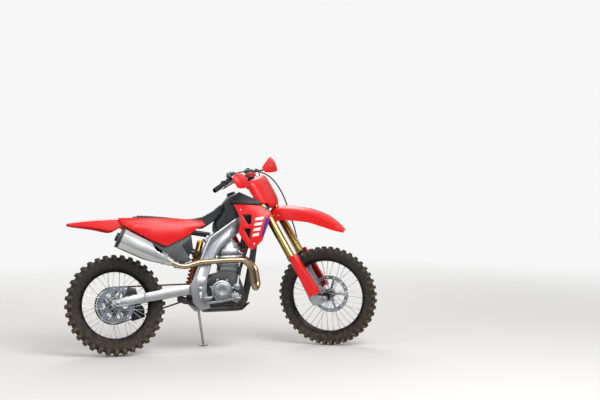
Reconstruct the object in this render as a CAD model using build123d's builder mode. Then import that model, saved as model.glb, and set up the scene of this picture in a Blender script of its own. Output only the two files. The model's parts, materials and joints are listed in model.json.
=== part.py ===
"""Off-road dual sport motorcycle, parked on its side stand with the bars turned to the right.

The chassis is drawn upright: X forward, Y to the left, Z up, with the rear axle over X = 0 and the
floor at Z = 0. Wheels are drawn about their own axle as Z. The fork and what it carries are drawn
about the steering axis as Z. At the end every piece is turned and leaned to where it is parked.
"""
from build123d import *
from math import sqrt, sin, cos, tan, radians, degrees, atan2
import os

os.makedirs("parts", exist_ok=True)

# Stance and steering, in mm and degrees
wheelbase = 1477
rake = 27
clamp_offset = 12
axle_lead = 58
park_lean = 10
park_steer = -34
running_gap = 0.4
seat_gap = 0.3

# Rear wheel
rear_crown = 322
rear_lug = 16
rear_section = 52
rear_bead = 241
rear_disc_radius = 120
rear_lug_rows = 36

# Front wheel
front_crown = 333
front_lug = 13
front_section = 39
front_bead = 266
front_disc_radius = 130
front_lug_rows = 44

# Axles, hubs and discs
rear_axle_radius = 12
front_axle_radius = 12
axle_bore = 6
disc_wall = 4
disc_offset = 74
front_disc_offset = 60
lug_length = 26
shoulder_lag = 40
flange_wall = 4
spoke_side = 3.6
spoke_groups = 9

# Chain drive
chain_offset = 75
chain_width = 15
chain_height = 14
chain_pitch = 15.875
rear_teeth = 49
front_teeth = 13
gearbox_x = 640
gearbox_z = 432

# Fork and bars
tube_spread = 108
tube_radius = 28
slider_radius = 23
tube_foot = 350
tube_top = 940.5
lower_clamp_foot = 722
upper_clamp_foot = 908
clamp_height = 32
stem_radius = 15
head_radius = 30
head_wall = 8
bar_radius = 14
bar_end_radius = 11
bar_bore = 8
bar_bore_depth = 60
bar_height = 968
bar_back = -14

# Chassis
pivot_x = 565
pivot_z = 418
pivot_radius = 9
spar_outer = 112
spar_inner = 90
swingarm_outer = 120
tyre_slot = 94
arm_weld = 180
plastic = 4
pipe_radius = 19
stand_x = 590
stand_y = 136
stand_z = 288
stand_reach_x = 50
stand_reach_y = 146
stand_pin = 6
stand_boss = 13
stand_leg = 9
pocket_depth = 4
case_right = -82
case_left = 82
sprocket_side = 58
clamp_pinch = 33
clamp_sweep = 54

rear_radius = rear_crown + rear_lug
front_radius = front_crown + front_lug
head_offset = clamp_offset + axle_lead


def side(y):
    """The upright plane at a distance to the left, seen from the right."""
    return Plane.XZ.offset(-y)


def outline(points):
    """A flat face on the present plane with straight edges through the points."""
    return Polygon(*points, align=None)


def plate(points, y_low, y_high, mode=Mode.ADD, corner=0):
    """A flat plate across the machine, between two distances to the left, its corners rounded."""
    with BuildSketch(side(y_high)) as face:
        outline(points)
        if corner:
            fillet(face.vertices(), corner)
    extrude(face.sketch, amount=y_high - y_low, mode=mode)


def rod(start, end, radius, mode=Mode.ADD):
    """A round bar from one point to another."""
    run = Vector(*end) - Vector(*start)
    with BuildSketch(Plane(origin=start, z_dir=run)) as face:
        Circle(radius)
    extrude(face.sketch, amount=run.length, mode=mode)


def box_bar(start, end, width, height, level=(0, 1, 0)):
    """A bar of rectangular section from one point to another, its width along level."""
    run = Vector(*end) - Vector(*start)
    across = Vector(*level) - run.normalized() * Vector(*level).dot(run.normalized())
    with BuildSketch(Plane(origin=start, x_dir=across, z_dir=run)) as face:
        Rectangle(width, height)
    extrude(face.sketch, amount=run.length)


def bent_rod(points, radius, bends):
    """A round bar along straight runs joined by arcs."""
    with BuildLine() as path:
        FilletPolyline(*points, radius=bends)
    with BuildSketch(Plane(origin=path.line @ 0, z_dir=path.line % 0)) as face:
        Circle(radius)
    sweep(face.sketch, path=path.line)


def skin(stations, wall):
    """A moulded skin along X: each station is x, then its outer (y, z) points; wall is (y, z)."""
    faces = []
    for x, line in stations:
        inner = [(y - wall[0], z - wall[1]) for y, z in reversed(line)]
        with BuildSketch(Plane.YZ.offset(x)) as face:
            outline(line + inner)
        faces.append(face.sketch)
    loft(faces, ruled=True)


def hull(stations):
    """A solid along X: each station is x, then the (y, z) points of its left half from the top."""
    faces = []
    for x, half in stations:
        other = [(-y, z) for y, z in reversed(half)]
        with BuildSketch(Plane.YZ.offset(x)) as face:
            outline(half + other)
        faces.append(face.sketch)
    loft(faces, ruled=True)


# Wheels

def tyre_shape(crown, section, bead, lug, rows, bead_half):
    """A knobbly tyre: a ring of straight flanks with a centre bar and two shoulder lugs a row."""
    tread_half = 0.42 * section
    shoulder = crown - 0.32 * section
    belly = crown - 0.72 * section
    half = [(bead, bead_half), (bead + 10, bead_half), (belly, section), (shoulder, section - 2),
            (crown, tread_half)]
    with BuildSketch(Plane.XZ) as section_face:
        outline(half + [(r, -w) for r, w in reversed(half)])
    revolve(section_face.sketch, axis=Axis.Z)
    with BuildPart(mode=Mode.PRIVATE) as lugs:
        with BuildSketch(Plane.XZ):
            outline([(crown - 4, -tread_half + 2), (crown + lug, -tread_half + 4),
                     (crown + lug, tread_half - 4), (crown - 4, tread_half - 2)])
        extrude(amount=lug_length / 2, both=True)
    with BuildPart(mode=Mode.PRIVATE) as shoulders:
        for flip in (1, -1):
            with BuildSketch(Plane.XZ):
                outline([(crown - 5, flip * (tread_half + 3)),
                         (crown + lug - 4, flip * (tread_half + 7)),
                         (shoulder + lug - 3, flip * (section + 4)),
                         (shoulder - 8, flip * (section + 3)),
                         (shoulder - 10, flip * (section - 5))])
            extrude(amount=lug_length / 2, both=True)
    with PolarLocations(0, rows):
        add(lugs.part)
    with PolarLocations(0, rows, start_angle=shoulder_lag / rows):
        add(shoulders.part)


def tyre_edges(crown, section, lug):
    """Radius and half width of the tread's outermost edges, which can meet the floor."""
    return [(crown + lug, 0.42 * section - 4), (crown - 0.32 * section + lug - 3, section + 4),
            (crown + lug - 4, 0.42 * section + 7)]


def rim_shape(bead, bead_half):
    """A drop-centre rim with two flanges that hold the tyre."""
    floor = bead - 20
    half = [(floor, 9), (floor + 7, bead_half - 5), (bead - 3, bead_half + flange_wall),
            (bead + 9, bead_half + flange_wall), (bead + 9, bead_half + seat_gap),
            (bead, bead_half + seat_gap)]
    with BuildSketch(Plane.XZ) as section_face:
        outline(half + [(r, -w) for r, w in reversed(half)])
    revolve(section_face.sketch, axis=Axis.Z)


def hub_shape(flange, flange_half, barrel, bore, rim_floor, ends):
    """A hub with two spoke flanges, and the crossed spokes that end on the rim's floor."""
    with BuildSketch(Plane.XZ) as section_face:
        outline([(bore, ends[0]), (barrel * 0.8, ends[0]), (barrel * 0.8, -flange_half - 6),
                 (flange, -flange_half - 4), (flange, -flange_half + 4), (barrel, -flange_half + 12),
                 (barrel, flange_half - 12), (flange, flange_half - 4), (flange, flange_half + 4),
                 (barrel * 0.8, flange_half + 6), (barrel * 0.8, ends[1]), (bore, ends[1])])
    revolve(section_face.sketch, axis=Axis.Z)
    reach = rim_floor - seat_gap - 0.1
    # Each row of the table: side of the hub, lean of the spoke, turn of its rim hole in degrees.
    spokes = [(1, 62, 0), (-1, 62, 10), (1, -62, 20), (-1, -62, 30)]
    with BuildPart(mode=Mode.PRIVATE) as group:
        for flank, lean, turn in spokes:
            rim_hole = radians(turn)
            hub_hole = radians(turn + lean)
            root = (flange - 5)
            start = (root * cos(hub_hole), root * sin(hub_hole), flank * flange_half)
            end = (reach * cos(rim_hole), reach * sin(rim_hole), flank * 5)
            box_bar(start, end, spoke_side, spoke_side, level=(0, 0, 1))
        with BuildSketch(Plane.XY):
            Circle(rim_floor - seat_gap)
        extrude(amount=60, both=True, mode=Mode.INTERSECT)
    with PolarLocations(0, spoke_groups):
        add(group.part)


def disc_shape(outer, band, carrier, bore):
    """A ventilated brake disc on five arms."""
    with BuildSketch(Plane.XY.offset(-disc_wall / 2)) as face:
        Circle(outer)
        Circle(outer - band, mode=Mode.SUBTRACT)
        Circle(carrier)
        with PolarLocations((outer + carrier - band) / 2, 5):
            Rectangle(outer - carrier - band / 2, 16)
        Circle(bore, mode=Mode.SUBTRACT)
        with PolarLocations(outer - band / 2, 15):
            RegularPolygon(band / 5, 6, mode=Mode.SUBTRACT)
    extrude(face.sketch, amount=disc_wall)


rear_barrel = 27
front_barrel = 24
disc_band = 26
rear_bead_half = 27
front_bead_half = 20
rear_flange = 44
front_flange = 34
rear_flange_half = 34
front_flange_half = 30
rear_spacer = tyre_slot - seat_gap
front_spacer = 95 - seat_gap

with BuildPart() as rear_tyre:
    tyre_shape(rear_crown, rear_section, rear_bead, rear_lug, rear_lug_rows, rear_bead_half)

with BuildPart() as rear_rim:
    rim_shape(rear_bead, rear_bead_half)

with BuildPart() as rear_hub:
    hub_shape(rear_flange, rear_flange_half, rear_barrel, rear_axle_radius + running_gap,
              rear_bead - 20, (-rear_spacer, rear_spacer))

with BuildPart() as rear_disc:
    disc_shape(rear_disc_radius, disc_band, 40, rear_barrel * 0.8 + seat_gap)

with BuildPart() as front_tyre:
    tyre_shape(front_crown, front_section, front_bead, front_lug, front_lug_rows, front_bead_half)

with BuildPart() as front_rim:
    rim_shape(front_bead, front_bead_half)

with BuildPart() as front_hub:
    hub_shape(front_flange, front_flange_half, front_barrel, front_axle_radius + running_gap,
              front_bead - 20, (-front_spacer, front_spacer))

with BuildPart() as front_disc:
    disc_shape(front_disc_radius, disc_band, 36, front_barrel * 0.8 + seat_gap)

rear_pitch_radius = chain_pitch / (2 * sin(radians(180 / rear_teeth)))
front_pitch_radius = chain_pitch / (2 * sin(radians(180 / front_teeth)))
sprocket_tip = rear_pitch_radius - chain_height / 2 - 1.5
with BuildPart() as rear_sprocket:
    with BuildSketch(Plane.XY.offset(-3)):
        Circle(sprocket_tip)
        Circle(rear_barrel * 0.8 + seat_gap, mode=Mode.SUBTRACT)
        with PolarLocations(sprocket_tip, rear_teeth):
            RegularPolygon(4.6, 3, mode=Mode.SUBTRACT)
        with PolarLocations(78, 6):
            Circle(22, mode=Mode.SUBTRACT)
    extrude(amount=6)

# Chassis

def fork_point(x, y, z):
    """A point about the steering axis, given in the upright chassis frame."""
    turn = radians(rake)
    base_x = wheelbase - head_offset * cos(turn)
    base_z = front_radius - head_offset * sin(turn)
    return (base_x + x * cos(turn) - z * sin(turn), y, base_z + x * sin(turn) + z * cos(turn))


# Stance: the steering turned, and the floor that the tyres and the stand meet

stand_pivot = Vector(stand_x, stand_y, stand_z)
steering_axis = Vector(*fork_point(0, 0, 1)) - Vector(*fork_point(0, 0, 0))
steering_base = Vector(*fork_point(0, 0, 0))
front_centre = Vector(wheelbase, 0, front_radius)
steering_turn = Axis((0, 0, 0), tuple(steering_axis))
front_parked = steering_base + (front_centre - steering_base).rotate(steering_turn, park_steer)
front_axle_way = Vector(0, 1, 0).rotate(steering_turn, park_steer)
rear_centre = Vector(0, 0, rear_radius)


def reach_down(edges, tilt):
    """How far below its centre a leaned wheel reaches, by the sine of its axle's tilt."""
    return max(r * sqrt(1 - tilt ** 2) + w * abs(tilt) for r, w in edges)


rear_edges = tyre_edges(rear_crown, rear_section, rear_lug)
front_edges = tyre_edges(front_crown, front_section, front_lug)
up = Vector(0, -sin(radians(park_lean)), cos(radians(park_lean)))
for attempt in range(12):
    rear_low = rear_centre.dot(up) - reach_down(rear_edges, up.Y)
    front_low = front_parked.dot(up) - reach_down(front_edges, front_axle_way.dot(up))
    up = Vector(up.X + (rear_low - front_low) / front_parked.X, up.Y, up.Z).normalized()
floor_height = rear_centre.dot(up) - reach_down(rear_edges, up.Y)
foot_x = stand_x + stand_reach_x
foot_y = stand_y + stand_reach_y
foot_z = (floor_height - foot_x * up.X - foot_y * up.Y) / up.Z
stand_foot = Vector(foot_x, foot_y, foot_z)
stand_way = (stand_foot - stand_pivot).normalized()
stowed_way = Vector(-1, 0.12, 0.06).normalized()
stand_hinge = stand_way.cross(stowed_way).normalized()
stand_swing = stand_way.get_angle(stowed_way)
ear_gap = stand_leg + 1
ear_wall = 7
ear_reach = 46
inboard = Vector(0.2, -1, 0.6)
ear_way = (inboard - stand_hinge * inboard.dot(stand_hinge)).normalized()

head_foot = lower_clamp_foot + clamp_height + running_gap
head_top = upper_clamp_foot - running_gap
spar_plan = [(1090, 4), (1085, 32), (1000, 46), (900, 82), (780, spar_outer), (470, spar_outer),
             (470, spar_inner), (780, spar_inner), (900, 58), (1000, 20), (1045, 4)]
spar_side = [(1008, 1090), (985, 1030), (900, 940), (820, 880), (640, 765), (610, 714),
             (519, 487), (496, 446), (510, 330), (560, 276), (628, 286), (604, 400), (614, 480),
             (655, 600), (720, 690), (860, 800), (1052, 1002)]
down_tube = [(1022, 0, 985), (938, 0, 520), (884, 0, 330)]

with BuildPart() as main_frame:
    plate(spar_side, -spar_outer, spar_outer, corner=8)
    with BuildSketch() as plan:
        outline(spar_plan)
        mirror(about=Plane.XZ)
    extrude(plan.sketch, amount=1300, mode=Mode.INTERSECT)
    rod(fork_point(0, 0, head_foot), fork_point(0, 0, head_top), head_radius)
    rod(fork_point(0, 0, head_foot - 2), fork_point(0, 0, head_top + 2), head_radius - head_wall,
        mode=Mode.SUBTRACT)
    rod((pivot_x, -150, pivot_z), (pivot_x, 150, pivot_z), pivot_radius + 0.2, mode=Mode.SUBTRACT)
    spar_pocket = [(545, 505), (628, 702), (662, 758), (788, 848), (806, 826), (694, 728),
                   (636, 616), (596, 500)]
    for flank in (1, -1):
        far = flank * (spar_outer + 1)
        near = flank * (spar_outer - pocket_depth)
        plate(spar_pocket, min(near, far), max(near, far), mode=Mode.SUBTRACT, corner=4)
    for flank in (1, -1):
        ear = stand_pivot + stand_hinge * (flank * (ear_gap + ear_wall / 2))
        with BuildSketch(Plane(origin=ear - stand_hinge * ear_wall / 2, x_dir=ear_way,
                               z_dir=stand_hinge)) as lug:
            Circle(stand_boss)
            with Locations((ear_reach / 2, 0)):
                Rectangle(ear_reach, 2 * stand_boss)
            Circle(stand_pin + running_gap, mode=Mode.SUBTRACT)
        extrude(lug.sketch, amount=ear_wall)
    with BuildSketch(Plane(origin=stand_pivot - stand_hinge * (ear_gap + ear_wall), x_dir=ear_way,
                           z_dir=stand_hinge)) as bridge:
        with Locations(((ear_reach + stand_boss + 8) / 2, 0)):
            Rectangle(ear_reach - stand_boss - 8, 2 * stand_boss)
    extrude(bridge.sketch, amount=2 * (ear_gap + ear_wall))

with BuildPart() as cradle:
    box_bar(down_tube[0], down_tube[1], 44, 36)
    box_bar(down_tube[1], down_tube[2], 44, 36)
    for flank in (1, -1):
        box_bar((884, flank * 8, 330), (840, flank * 50, 282), 24, 30)
        box_bar((850, flank * 46, 284), (630, flank * 74, 284), 24, 26)
        box_bar((640, flank * 70, 284), (606, flank * 77, 292), 24, 26)
    rod(fork_point(0, 0, head_foot - 20), fork_point(0, 0, head_top), head_radius,
        mode=Mode.SUBTRACT)
    rod(fork_point(0, 0, lower_clamp_foot - 20), fork_point(0, 0, head_foot + 5), clamp_sweep,
        mode=Mode.SUBTRACT)
    add(main_frame.part, mode=Mode.SUBTRACT)

with BuildPart() as subframe:
    rod((655, 66, 790), (430, 62, 832), 11)
    rod((440, 62, 830), (60, 52, 878), 11)
    rod((600, 76, 650), (222, 61, 850), 10)
    mirror(about=Plane.XZ)
    rod((70, -58, 877), (70, 58, 877), 9)
    rod((430, -64, 832), (430, 64, 832), 9)
    box_bar((196, -58, 856), (196, -120, 738), 26, 7, level=(1, 0, 0))

with BuildPart() as crankcase:
    case_side = [(616, 304), (618, 470), (660, 520), (740, 532), (815, 520), (846, 470),
                 (868, 400), (856, 345), (826, 304), (680, 304)]
    plate(case_side, case_right, sprocket_side, corner=14)
    plate([(690, 310), (690, 500), (740, 532), (815, 520), (846, 470), (868, 400), (856, 345),
           (826, 304)], sprocket_side, case_left, corner=14)
    rod((gearbox_x, 50, gearbox_z), (gearbox_x, 80, gearbox_z), front_pitch_radius - 8.5)
    # Each row of the table: distance to the left and width of a casting flange.
    for y, width in [(case_right + 4, 8), (-14, 9), (sprocket_side - 4, 8)]:
        with BuildSketch(side(y + width / 2)) as seam:
            outline(case_side)
            fillet(seam.vertices(), 14)
            offset(amount=4)
        extrude(seam.sketch, amount=width)
    plate([(598, 450), (632, 450), (632, 478), (598, 478)], -92, sprocket_side)
    plate([(845, 372), (894, 362), (894, 344), (845, 344)], -26, 26)
    add(main_frame.part, mode=Mode.SUBTRACT)
    add(cradle.part, mode=Mode.SUBTRACT)

header_start = (876, -30, 628)
with BuildPart() as cylinder:
    plate([(712, 533), (722, 640), (735, 690), (848, 690), (856, 640), (838, 500), (815, 521),
           (740, 533)], -60, 60)
    plate([(735, 690), (742, 728), (838, 728), (848, 690)], -50, 50)
    plate([(752, 728), (758, 744), (824, 744), (830, 728)], -42, 42)
    for x in (768, 791, 814):
        plate([(x - 4, 744), (x - 4, 750), (x + 4, 750), (x + 4, 744)], -36, 36)
    # Each row of the table: height of the cut, how far it comes in, its thickness.
    for z, depth, thickness in [(688, 5, 4), (642, 5, 5), (600, 4, 5), (586, 4, 5), (572, 4, 5)]:
        with BuildSketch(Plane.XY.offset(z - thickness / 2)) as groove:
            with Locations((790, 0)):
                Rectangle(240, 160)
                Rectangle(2 * (56 - depth) + 14, 2 * (60 - depth), mode=Mode.SUBTRACT)
        extrude(groove.sketch, amount=thickness, mode=Mode.SUBTRACT)
    rod((840, -20, 650), header_start, pipe_radius + 3)
    port_way = (Vector(*header_start) - Vector(840, -20, 650)).normalized()
    flange = Vector(*header_start) - port_way * 7
    rod(tuple(flange), header_start, pipe_radius + 10)
    rod((830, 30, 700), (868, 46, 716), 11)
    rod((745, -10, 663), (690, -10, 676), 24)
    add(crankcase.part, mode=Mode.SUBTRACT)


def cover(x, z, face, flank, profile):
    """A turned side cover on the case: each profile point is radius and height off the face."""
    centre = (x, face, z)
    with BuildSketch(Plane(origin=centre, x_dir=(1, 0, 0), z_dir=(0, 0, flank))) as half:
        outline([(0, 0)] + profile)
    revolve(half.sketch, axis=Axis(centre, (0, 1, 0)))


def bosses(x, z, face, flank, ring, radius, height, angles):
    """Screw bosses round a side cover."""
    for angle in angles:
        place = (x + ring * cos(radians(angle)), z + ring * sin(radians(angle)))
        rod((place[0], face, place[1]), (place[0], face + flank * height, place[1]), radius)


with BuildPart() as engine_covers:
    cover(712, 402, case_right, -1, [(76, 0), (76, 15), (68, 24), (59, 25), (55, 32), (24, 32),
                                     (20, 28), (0, 28)])
    bosses(712, 402, case_right, -1, 77, 8, 16, range(10, 360, 50))
    cover(806, 356, case_right, -1, [(34, 0), (34, 16), (27, 22), (0, 22)])
    bosses(806, 356, case_right, -1, 34, 7, 14, (-80, 10, 100))
    cover(820, 426, case_right, -1, [(27, 0), (27, 14), (20, 21), (10, 24), (0, 24)])
    rod((822, -94, 440), (836, -94, 506), 10)
    cover(756, 395, case_left, 1, [(60, 0), (60, 18), (52, 26), (40, 30), (14, 30), (11, 26),
                                   (0, 26)])
    bosses(756, 395, case_left, 1, 61, 7, 15, range(0, 360, 60))
    plate([(622, 398), (622, 462), (646, 488), (724, 488), (724, 376), (646, 376)], case_left + 2.5,
          case_left + 6.5, corner=10)
    for x, z in [(704, 474), (704, 390)]:
        rod((x, case_left, z), (x, case_left + 8, z), 8)

with BuildPart() as header_pipe:
    bent_rod([header_start, (912, -40, 606), (956, -76, 545), (968, -80, 440),
              (948, -98, 402), (925, -122, 440), (912, -128, 560), (860, -132, 603),
              (745, -132, 604), (560, -134, 597), (464, -142, 572), (416.5, -148, 577.2),
              (372.2, -148, 599.9)],
             pipe_radius, [34, 50, 50, 15, 15, 60, 40, 60, 60, 60, 60])

muffler_tail = Vector(20, -148, 780)
muffler_nose = Vector(372, -148, 600)
with BuildPart() as muffler:
    # Each row of the table: share of the length from the tail, half height, half width.
    muffler_stations = [(0.0, 54, 44), (0.06, 66, 52), (0.55, 60, 50), (0.88, 34, 32), (1.0, 24, 24)]
    faces = []
    for share, tall, wide in muffler_stations:
        centre = muffler_tail + (muffler_nose - muffler_tail) * share
        with BuildSketch(Plane(origin=centre, x_dir=(0, 1, 0),
                               z_dir=muffler_nose - muffler_tail)) as face:
            outline([(-wide * 0.55, tall), (wide * 0.55, tall), (wide, tall * 0.45),
                     (wide, -tall * 0.45), (wide * 0.55, -tall), (-wide * 0.55, -tall),
                     (-wide, -tall * 0.45), (-wide, tall * 0.45)])
        faces.append(face.sketch)
    loft(faces, ruled=True)
    muffler_way = (muffler_nose - muffler_tail).normalized()
    rod(tuple(muffler_tail - muffler_way * 16), tuple(muffler_tail + muffler_way * 4), 27)
    rod(tuple(muffler_tail - muffler_way * 20), tuple(muffler_tail + muffler_way * 40), 22,
        mode=Mode.SUBTRACT)
    rod(tuple(muffler_nose - muffler_way * 16), tuple(muffler_nose), 27)
    add(subframe.part, mode=Mode.SUBTRACT)

radiator_foot = Vector(905, 102, 700)
radiator_head = Vector(975, 102, 905)
radiator_rise = radiator_head - radiator_foot
with BuildPart() as radiators:
    box_bar(tuple(radiator_foot), tuple(radiator_head), 76, 28)
    box_bar(tuple(radiator_foot), tuple(radiator_foot + radiator_rise * 0.1), 76, 36)
    box_bar(tuple(radiator_foot + radiator_rise * 0.9), tuple(radiator_head), 76, 36)
    for share in range(3, 18):
        slot = radiator_foot + radiator_rise * (share / 20)
        with BuildSketch(Plane(origin=slot, x_dir=(0, 1, 0), z_dir=radiator_rise)) as face:
            with Locations((0, 15), (0, -15)):
                Rectangle(64, 8)
        extrude(face.sketch, amount=5, mode=Mode.SUBTRACT)
    rod(tuple(radiator_head), tuple(radiator_head + radiator_rise.normalized() * 9), 17)
    rod((992, 18, 840), (958, 66, 840), 6)
    rod((974, 18, 740), (924, 66, 740), 6)
    mirror(about=Plane.XZ)
    add(cradle.part, mode=Mode.SUBTRACT)

with BuildPart() as shrouds:
    shroud_outline = [(817, 984), (997, 966), (1068, 907), (1062, 892), (995, 727), (929, 667),
                      (908, 673), (839, 784), (857, 876)]
    skin([(800, [(114, 1000), (122, 930), (126, 876), (126, 784), (122, 650)]),
          (908, [(140, 1000), (150, 930), (158, 876), (156, 784), (148, 650)]),
          (1000, [(152, 1000), (164, 930), (172, 876), (170, 784), (160, 650)]),
          (1080, [(154, 1000), (164, 930), (172, 876), (170, 784), (160, 650)])], (plastic, 0))
    plate(shroud_outline, 50, 200, mode=Mode.INTERSECT)
    plate([(867, 910), (930, 908), (924, 841), (901, 842)], 50, 200, mode=Mode.SUBTRACT)
    plate([(872, 816), (920, 813), (913, 727)], 50, 200, mode=Mode.SUBTRACT)
    rod((938, 140 + seat_gap, 770), (938, 158, 770), 9)
    mirror(about=Plane.XZ)

with BuildPart() as fuel_tank:
    hull([(700, [(40, 876), (64, 870), (80, 850), (80, 808), (50, 806)]),
          (760, [(45, 950), (68, 942), (86, 915), (86, 838), (55, 834)]),
          (766, [(45, 1003), (66, 994), (88, 955), (88, 842), (55, 838)]),
          (807, [(45, 1050), (68, 1038), (92, 990), (92, 866), (60, 862)]),
          (864, [(45, 1071), (72, 1058), (98, 1000), (98, 905), (66, 900)]),
          (940, [(30, 1042), (48, 1034), (60, 1016), (60, 990), (40, 984)])])
    cap_foot = Vector(834, 0, 1046)
    cap_way = Vector(-0.34, 0, 1).normalized()
    rod(tuple(cap_foot), tuple(cap_foot + cap_way * 24), 31)
    rod(tuple(cap_foot), tuple(cap_foot + cap_way * 33), 26)
    add(main_frame.part, mode=Mode.SUBTRACT)

with BuildPart() as tank_covers:
    skin([(770, [(62, 1080), (84, 1044), (104, 1000), (110, 950)]),
          (864, [(86, 1080), (102, 1044), (120, 1000), (126, 950)]),
          (1010, [(112, 1080), (130, 1044), (146, 1000), (152, 950)])], (plastic, 0))
    plate([(784, 1004), (864, 1071), (1000, 994), (992, 972), (817, 990)], 30, 200,
          mode=Mode.INTERSECT)
    rod((864, 80, 990), (864, 117, 990), 8)
    mirror(about=Plane.XZ)
    add(fuel_tank.part, mode=Mode.SUBTRACT)

with BuildPart() as seat:
    hull([(112, [(24, 922), (48, 918), (66, 905), (70, 893)]),
          (180, [(32, 934), (62, 930), (80, 908), (82, 880)]),
          (350, [(32, 918), (62, 914), (80, 892), (84, 860)]),
          (500, [(28, 899), (54, 895), (70, 875), (74, 842)]),
          (620, [(24, 912), (46, 908), (58, 885), (62, 832)]),
          (700, [(22, 955), (40, 950), (52, 930), (56, 882)]),
          (758, [(20, 1004), (36, 999), (46, 980), (50, 956)])])

with BuildPart() as side_panels:
    skin([(10, [(88, 935), (98, 900), (110, 840), (112, 700)]),
          (250, [(92, 935), (104, 900), (122, 840), (122, 700)]),
          (450, [(90, 935), (98, 900), (116, 840), (118, 700)]),
          (640, [(84, 935), (90, 900), (104, 840), (108, 700)])], (plastic, 0))
    plate([(28, 916), (56, 869), (238, 761), (345, 713), (496, 781), (561, 826), (620, 850),
           (600, 882), (500, 893), (350, 905), (180, 912)], 50, 200, mode=Mode.INTERSECT)
    rod((150, 55, 866), (150, 109, 866), 7)
    rod((430, 62, 832), (430, 114, 832), 7)
    mirror(about=Plane.XZ)
    add(subframe.part, mode=Mode.SUBTRACT)

with BuildPart() as airbox:
    plate([(300, 826), (520, 806), (530, 700), (500, 640), (420, 640), (322, 720)], -94, 94)
    for flank in (1, -1):
        rod((655, flank * 66, 790), (430, flank * 62, 832), 13, mode=Mode.SUBTRACT)
        rod((440, flank * 62, 830), (60, flank * 52, 878), 13, mode=Mode.SUBTRACT)
        rod((600, flank * 76, 650), (222, flank * 61, 850), 12, mode=Mode.SUBTRACT)
    rod((430, -100, 832), (430, 100, 832), 11, mode=Mode.SUBTRACT)

with BuildPart() as airbox_covers:
    plate([(235, 760), (341, 713), (494, 779), (521, 768), (454, 716), (495, 644), (514, 615),
           (486, 601), (378, 614)], 94 + seat_gap, 94 + plastic)
    mirror(about=Plane.XZ)


def arch(stations, wall):
    """An arched moulding along X: each station is x, then the outer (y, z) from crown to edge."""
    faces = []
    for x, half in stations:
        inner = [(y - wall, z - wall) for y, z in half[:-1]] + [(half[-1][0] - wall, half[-1][1])]
        over = [(-y, z) for y, z in reversed(half)] + half
        under = list(reversed(inner)) + [(-y, z) for y, z in inner]
        with BuildSketch(Plane.YZ.offset(x)) as face:
            outline(over + under)
        faces.append(face.sketch)
    loft(faces, ruled=True)


with BuildPart() as rear_fender:
    arch([(-306, [(20, 893), (36, 888), (40, 878)]),
          (-225, [(34, 902), (58, 894), (64, 868)]),
          (-125, [(44, 910), (72, 900), (78, 852)]),
          (-11, [(48, 913), (76, 902), (83, 820)]),
          (60, [(50, 913), (76, 905), (83, 860)]),
          (108, [(50, 912), (76, 905), (83, 884)])], plastic)

with BuildPart() as welded_arm:
    plate([(-34, 316), (-34, 362), (64, 385), (470, 451), (594, 446), (594, 392), (470, 384),
           (64, 328)], -swingarm_outer, swingarm_outer)
    inner_end = spar_inner - running_gap
    with BuildSketch() as plan:
        outline([(-34, swingarm_outer), (200, swingarm_outer - 2), (380, 106), (470, inner_end),
                 (594, inner_end), (594, -inner_end), (470, -inner_end), (380, -106),
                 (200, 2 - swingarm_outer), (-34, -swingarm_outer)])
        Polygon((-40, tyre_slot), (180, tyre_slot), (330, 78), (385, 50), (385, -50), (330, -78),
                (180, -tyre_slot), (-40, -tyre_slot), align=None, mode=Mode.SUBTRACT)
        Polygon((460, 42), (551, 42), (551, -42), (460, -42), align=None, mode=Mode.SUBTRACT)
    extrude(plan.sketch, amount=600, mode=Mode.INTERSECT)
    rod((pivot_x, -150, pivot_z), (pivot_x, 150, pivot_z), pivot_radius + 0.2, mode=Mode.SUBTRACT)
    rod((0, -150, rear_radius), (0, 150, rear_radius), rear_axle_radius + 0.2, mode=Mode.SUBTRACT)
    for flank in (1, -1):
        rod((-34, flank * 107, rear_radius), (-46, flank * 107, rear_radius), 5)
        rod((-34, flank * 107, rear_radius), (-39, flank * 107, rear_radius), 9)

with BuildPart() as swingarm:
    add(welded_arm.part)
    split(bisect_by=Plane.YZ.offset(arm_weld), keep=Keep.TOP)

with BuildPart() as swingarm_rails:
    add(welded_arm.part)
    split(bisect_by=Plane.YZ.offset(arm_weld), keep=Keep.BOTTOM)

with BuildPart() as chain_guide:
    guide_side = [(118, 226), (118, 290), (140, 344), (176, 350), (206, 310), (206, 252)]
    guide_near = chain_offset - chain_width / 2 - 4
    guide_far = chain_offset + chain_width / 2 + 4
    plate(guide_side, guide_near - 4, guide_near, corner=5)
    plate([(122, 235), (122, 228), (202, 252), (202, 259)], guide_near, guide_far)
    plate(guide_side, guide_far, guide_far + 4, corner=5)
    plate([(140, 326), (140, 340), (176, 345), (176, 332)], guide_far, swingarm_outer - 8)
    add(welded_arm.part, mode=Mode.SUBTRACT)

with BuildPart() as swingarm_pivot:
    rod((pivot_x, -spar_outer - 10, pivot_z), (pivot_x, spar_outer + 10, pivot_z), pivot_radius)
    for flank in (1, -1):
        rod((pivot_x, flank * spar_outer, pivot_z), (pivot_x, flank * (spar_outer + 10), pivot_z), 15)

with BuildPart() as rear_axle:
    rod((0, -swingarm_outer - 12, rear_radius), (0, swingarm_outer + 12, rear_radius),
        rear_axle_radius)
    for flank in (1, -1):
        rod((0, flank * swingarm_outer, rear_radius), (0, flank * (swingarm_outer + 12), rear_radius),
            19)
    rod((0, -swingarm_outer - 20, rear_radius), (0, swingarm_outer + 20, rear_radius), axle_bore,
        mode=Mode.SUBTRACT)

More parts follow.
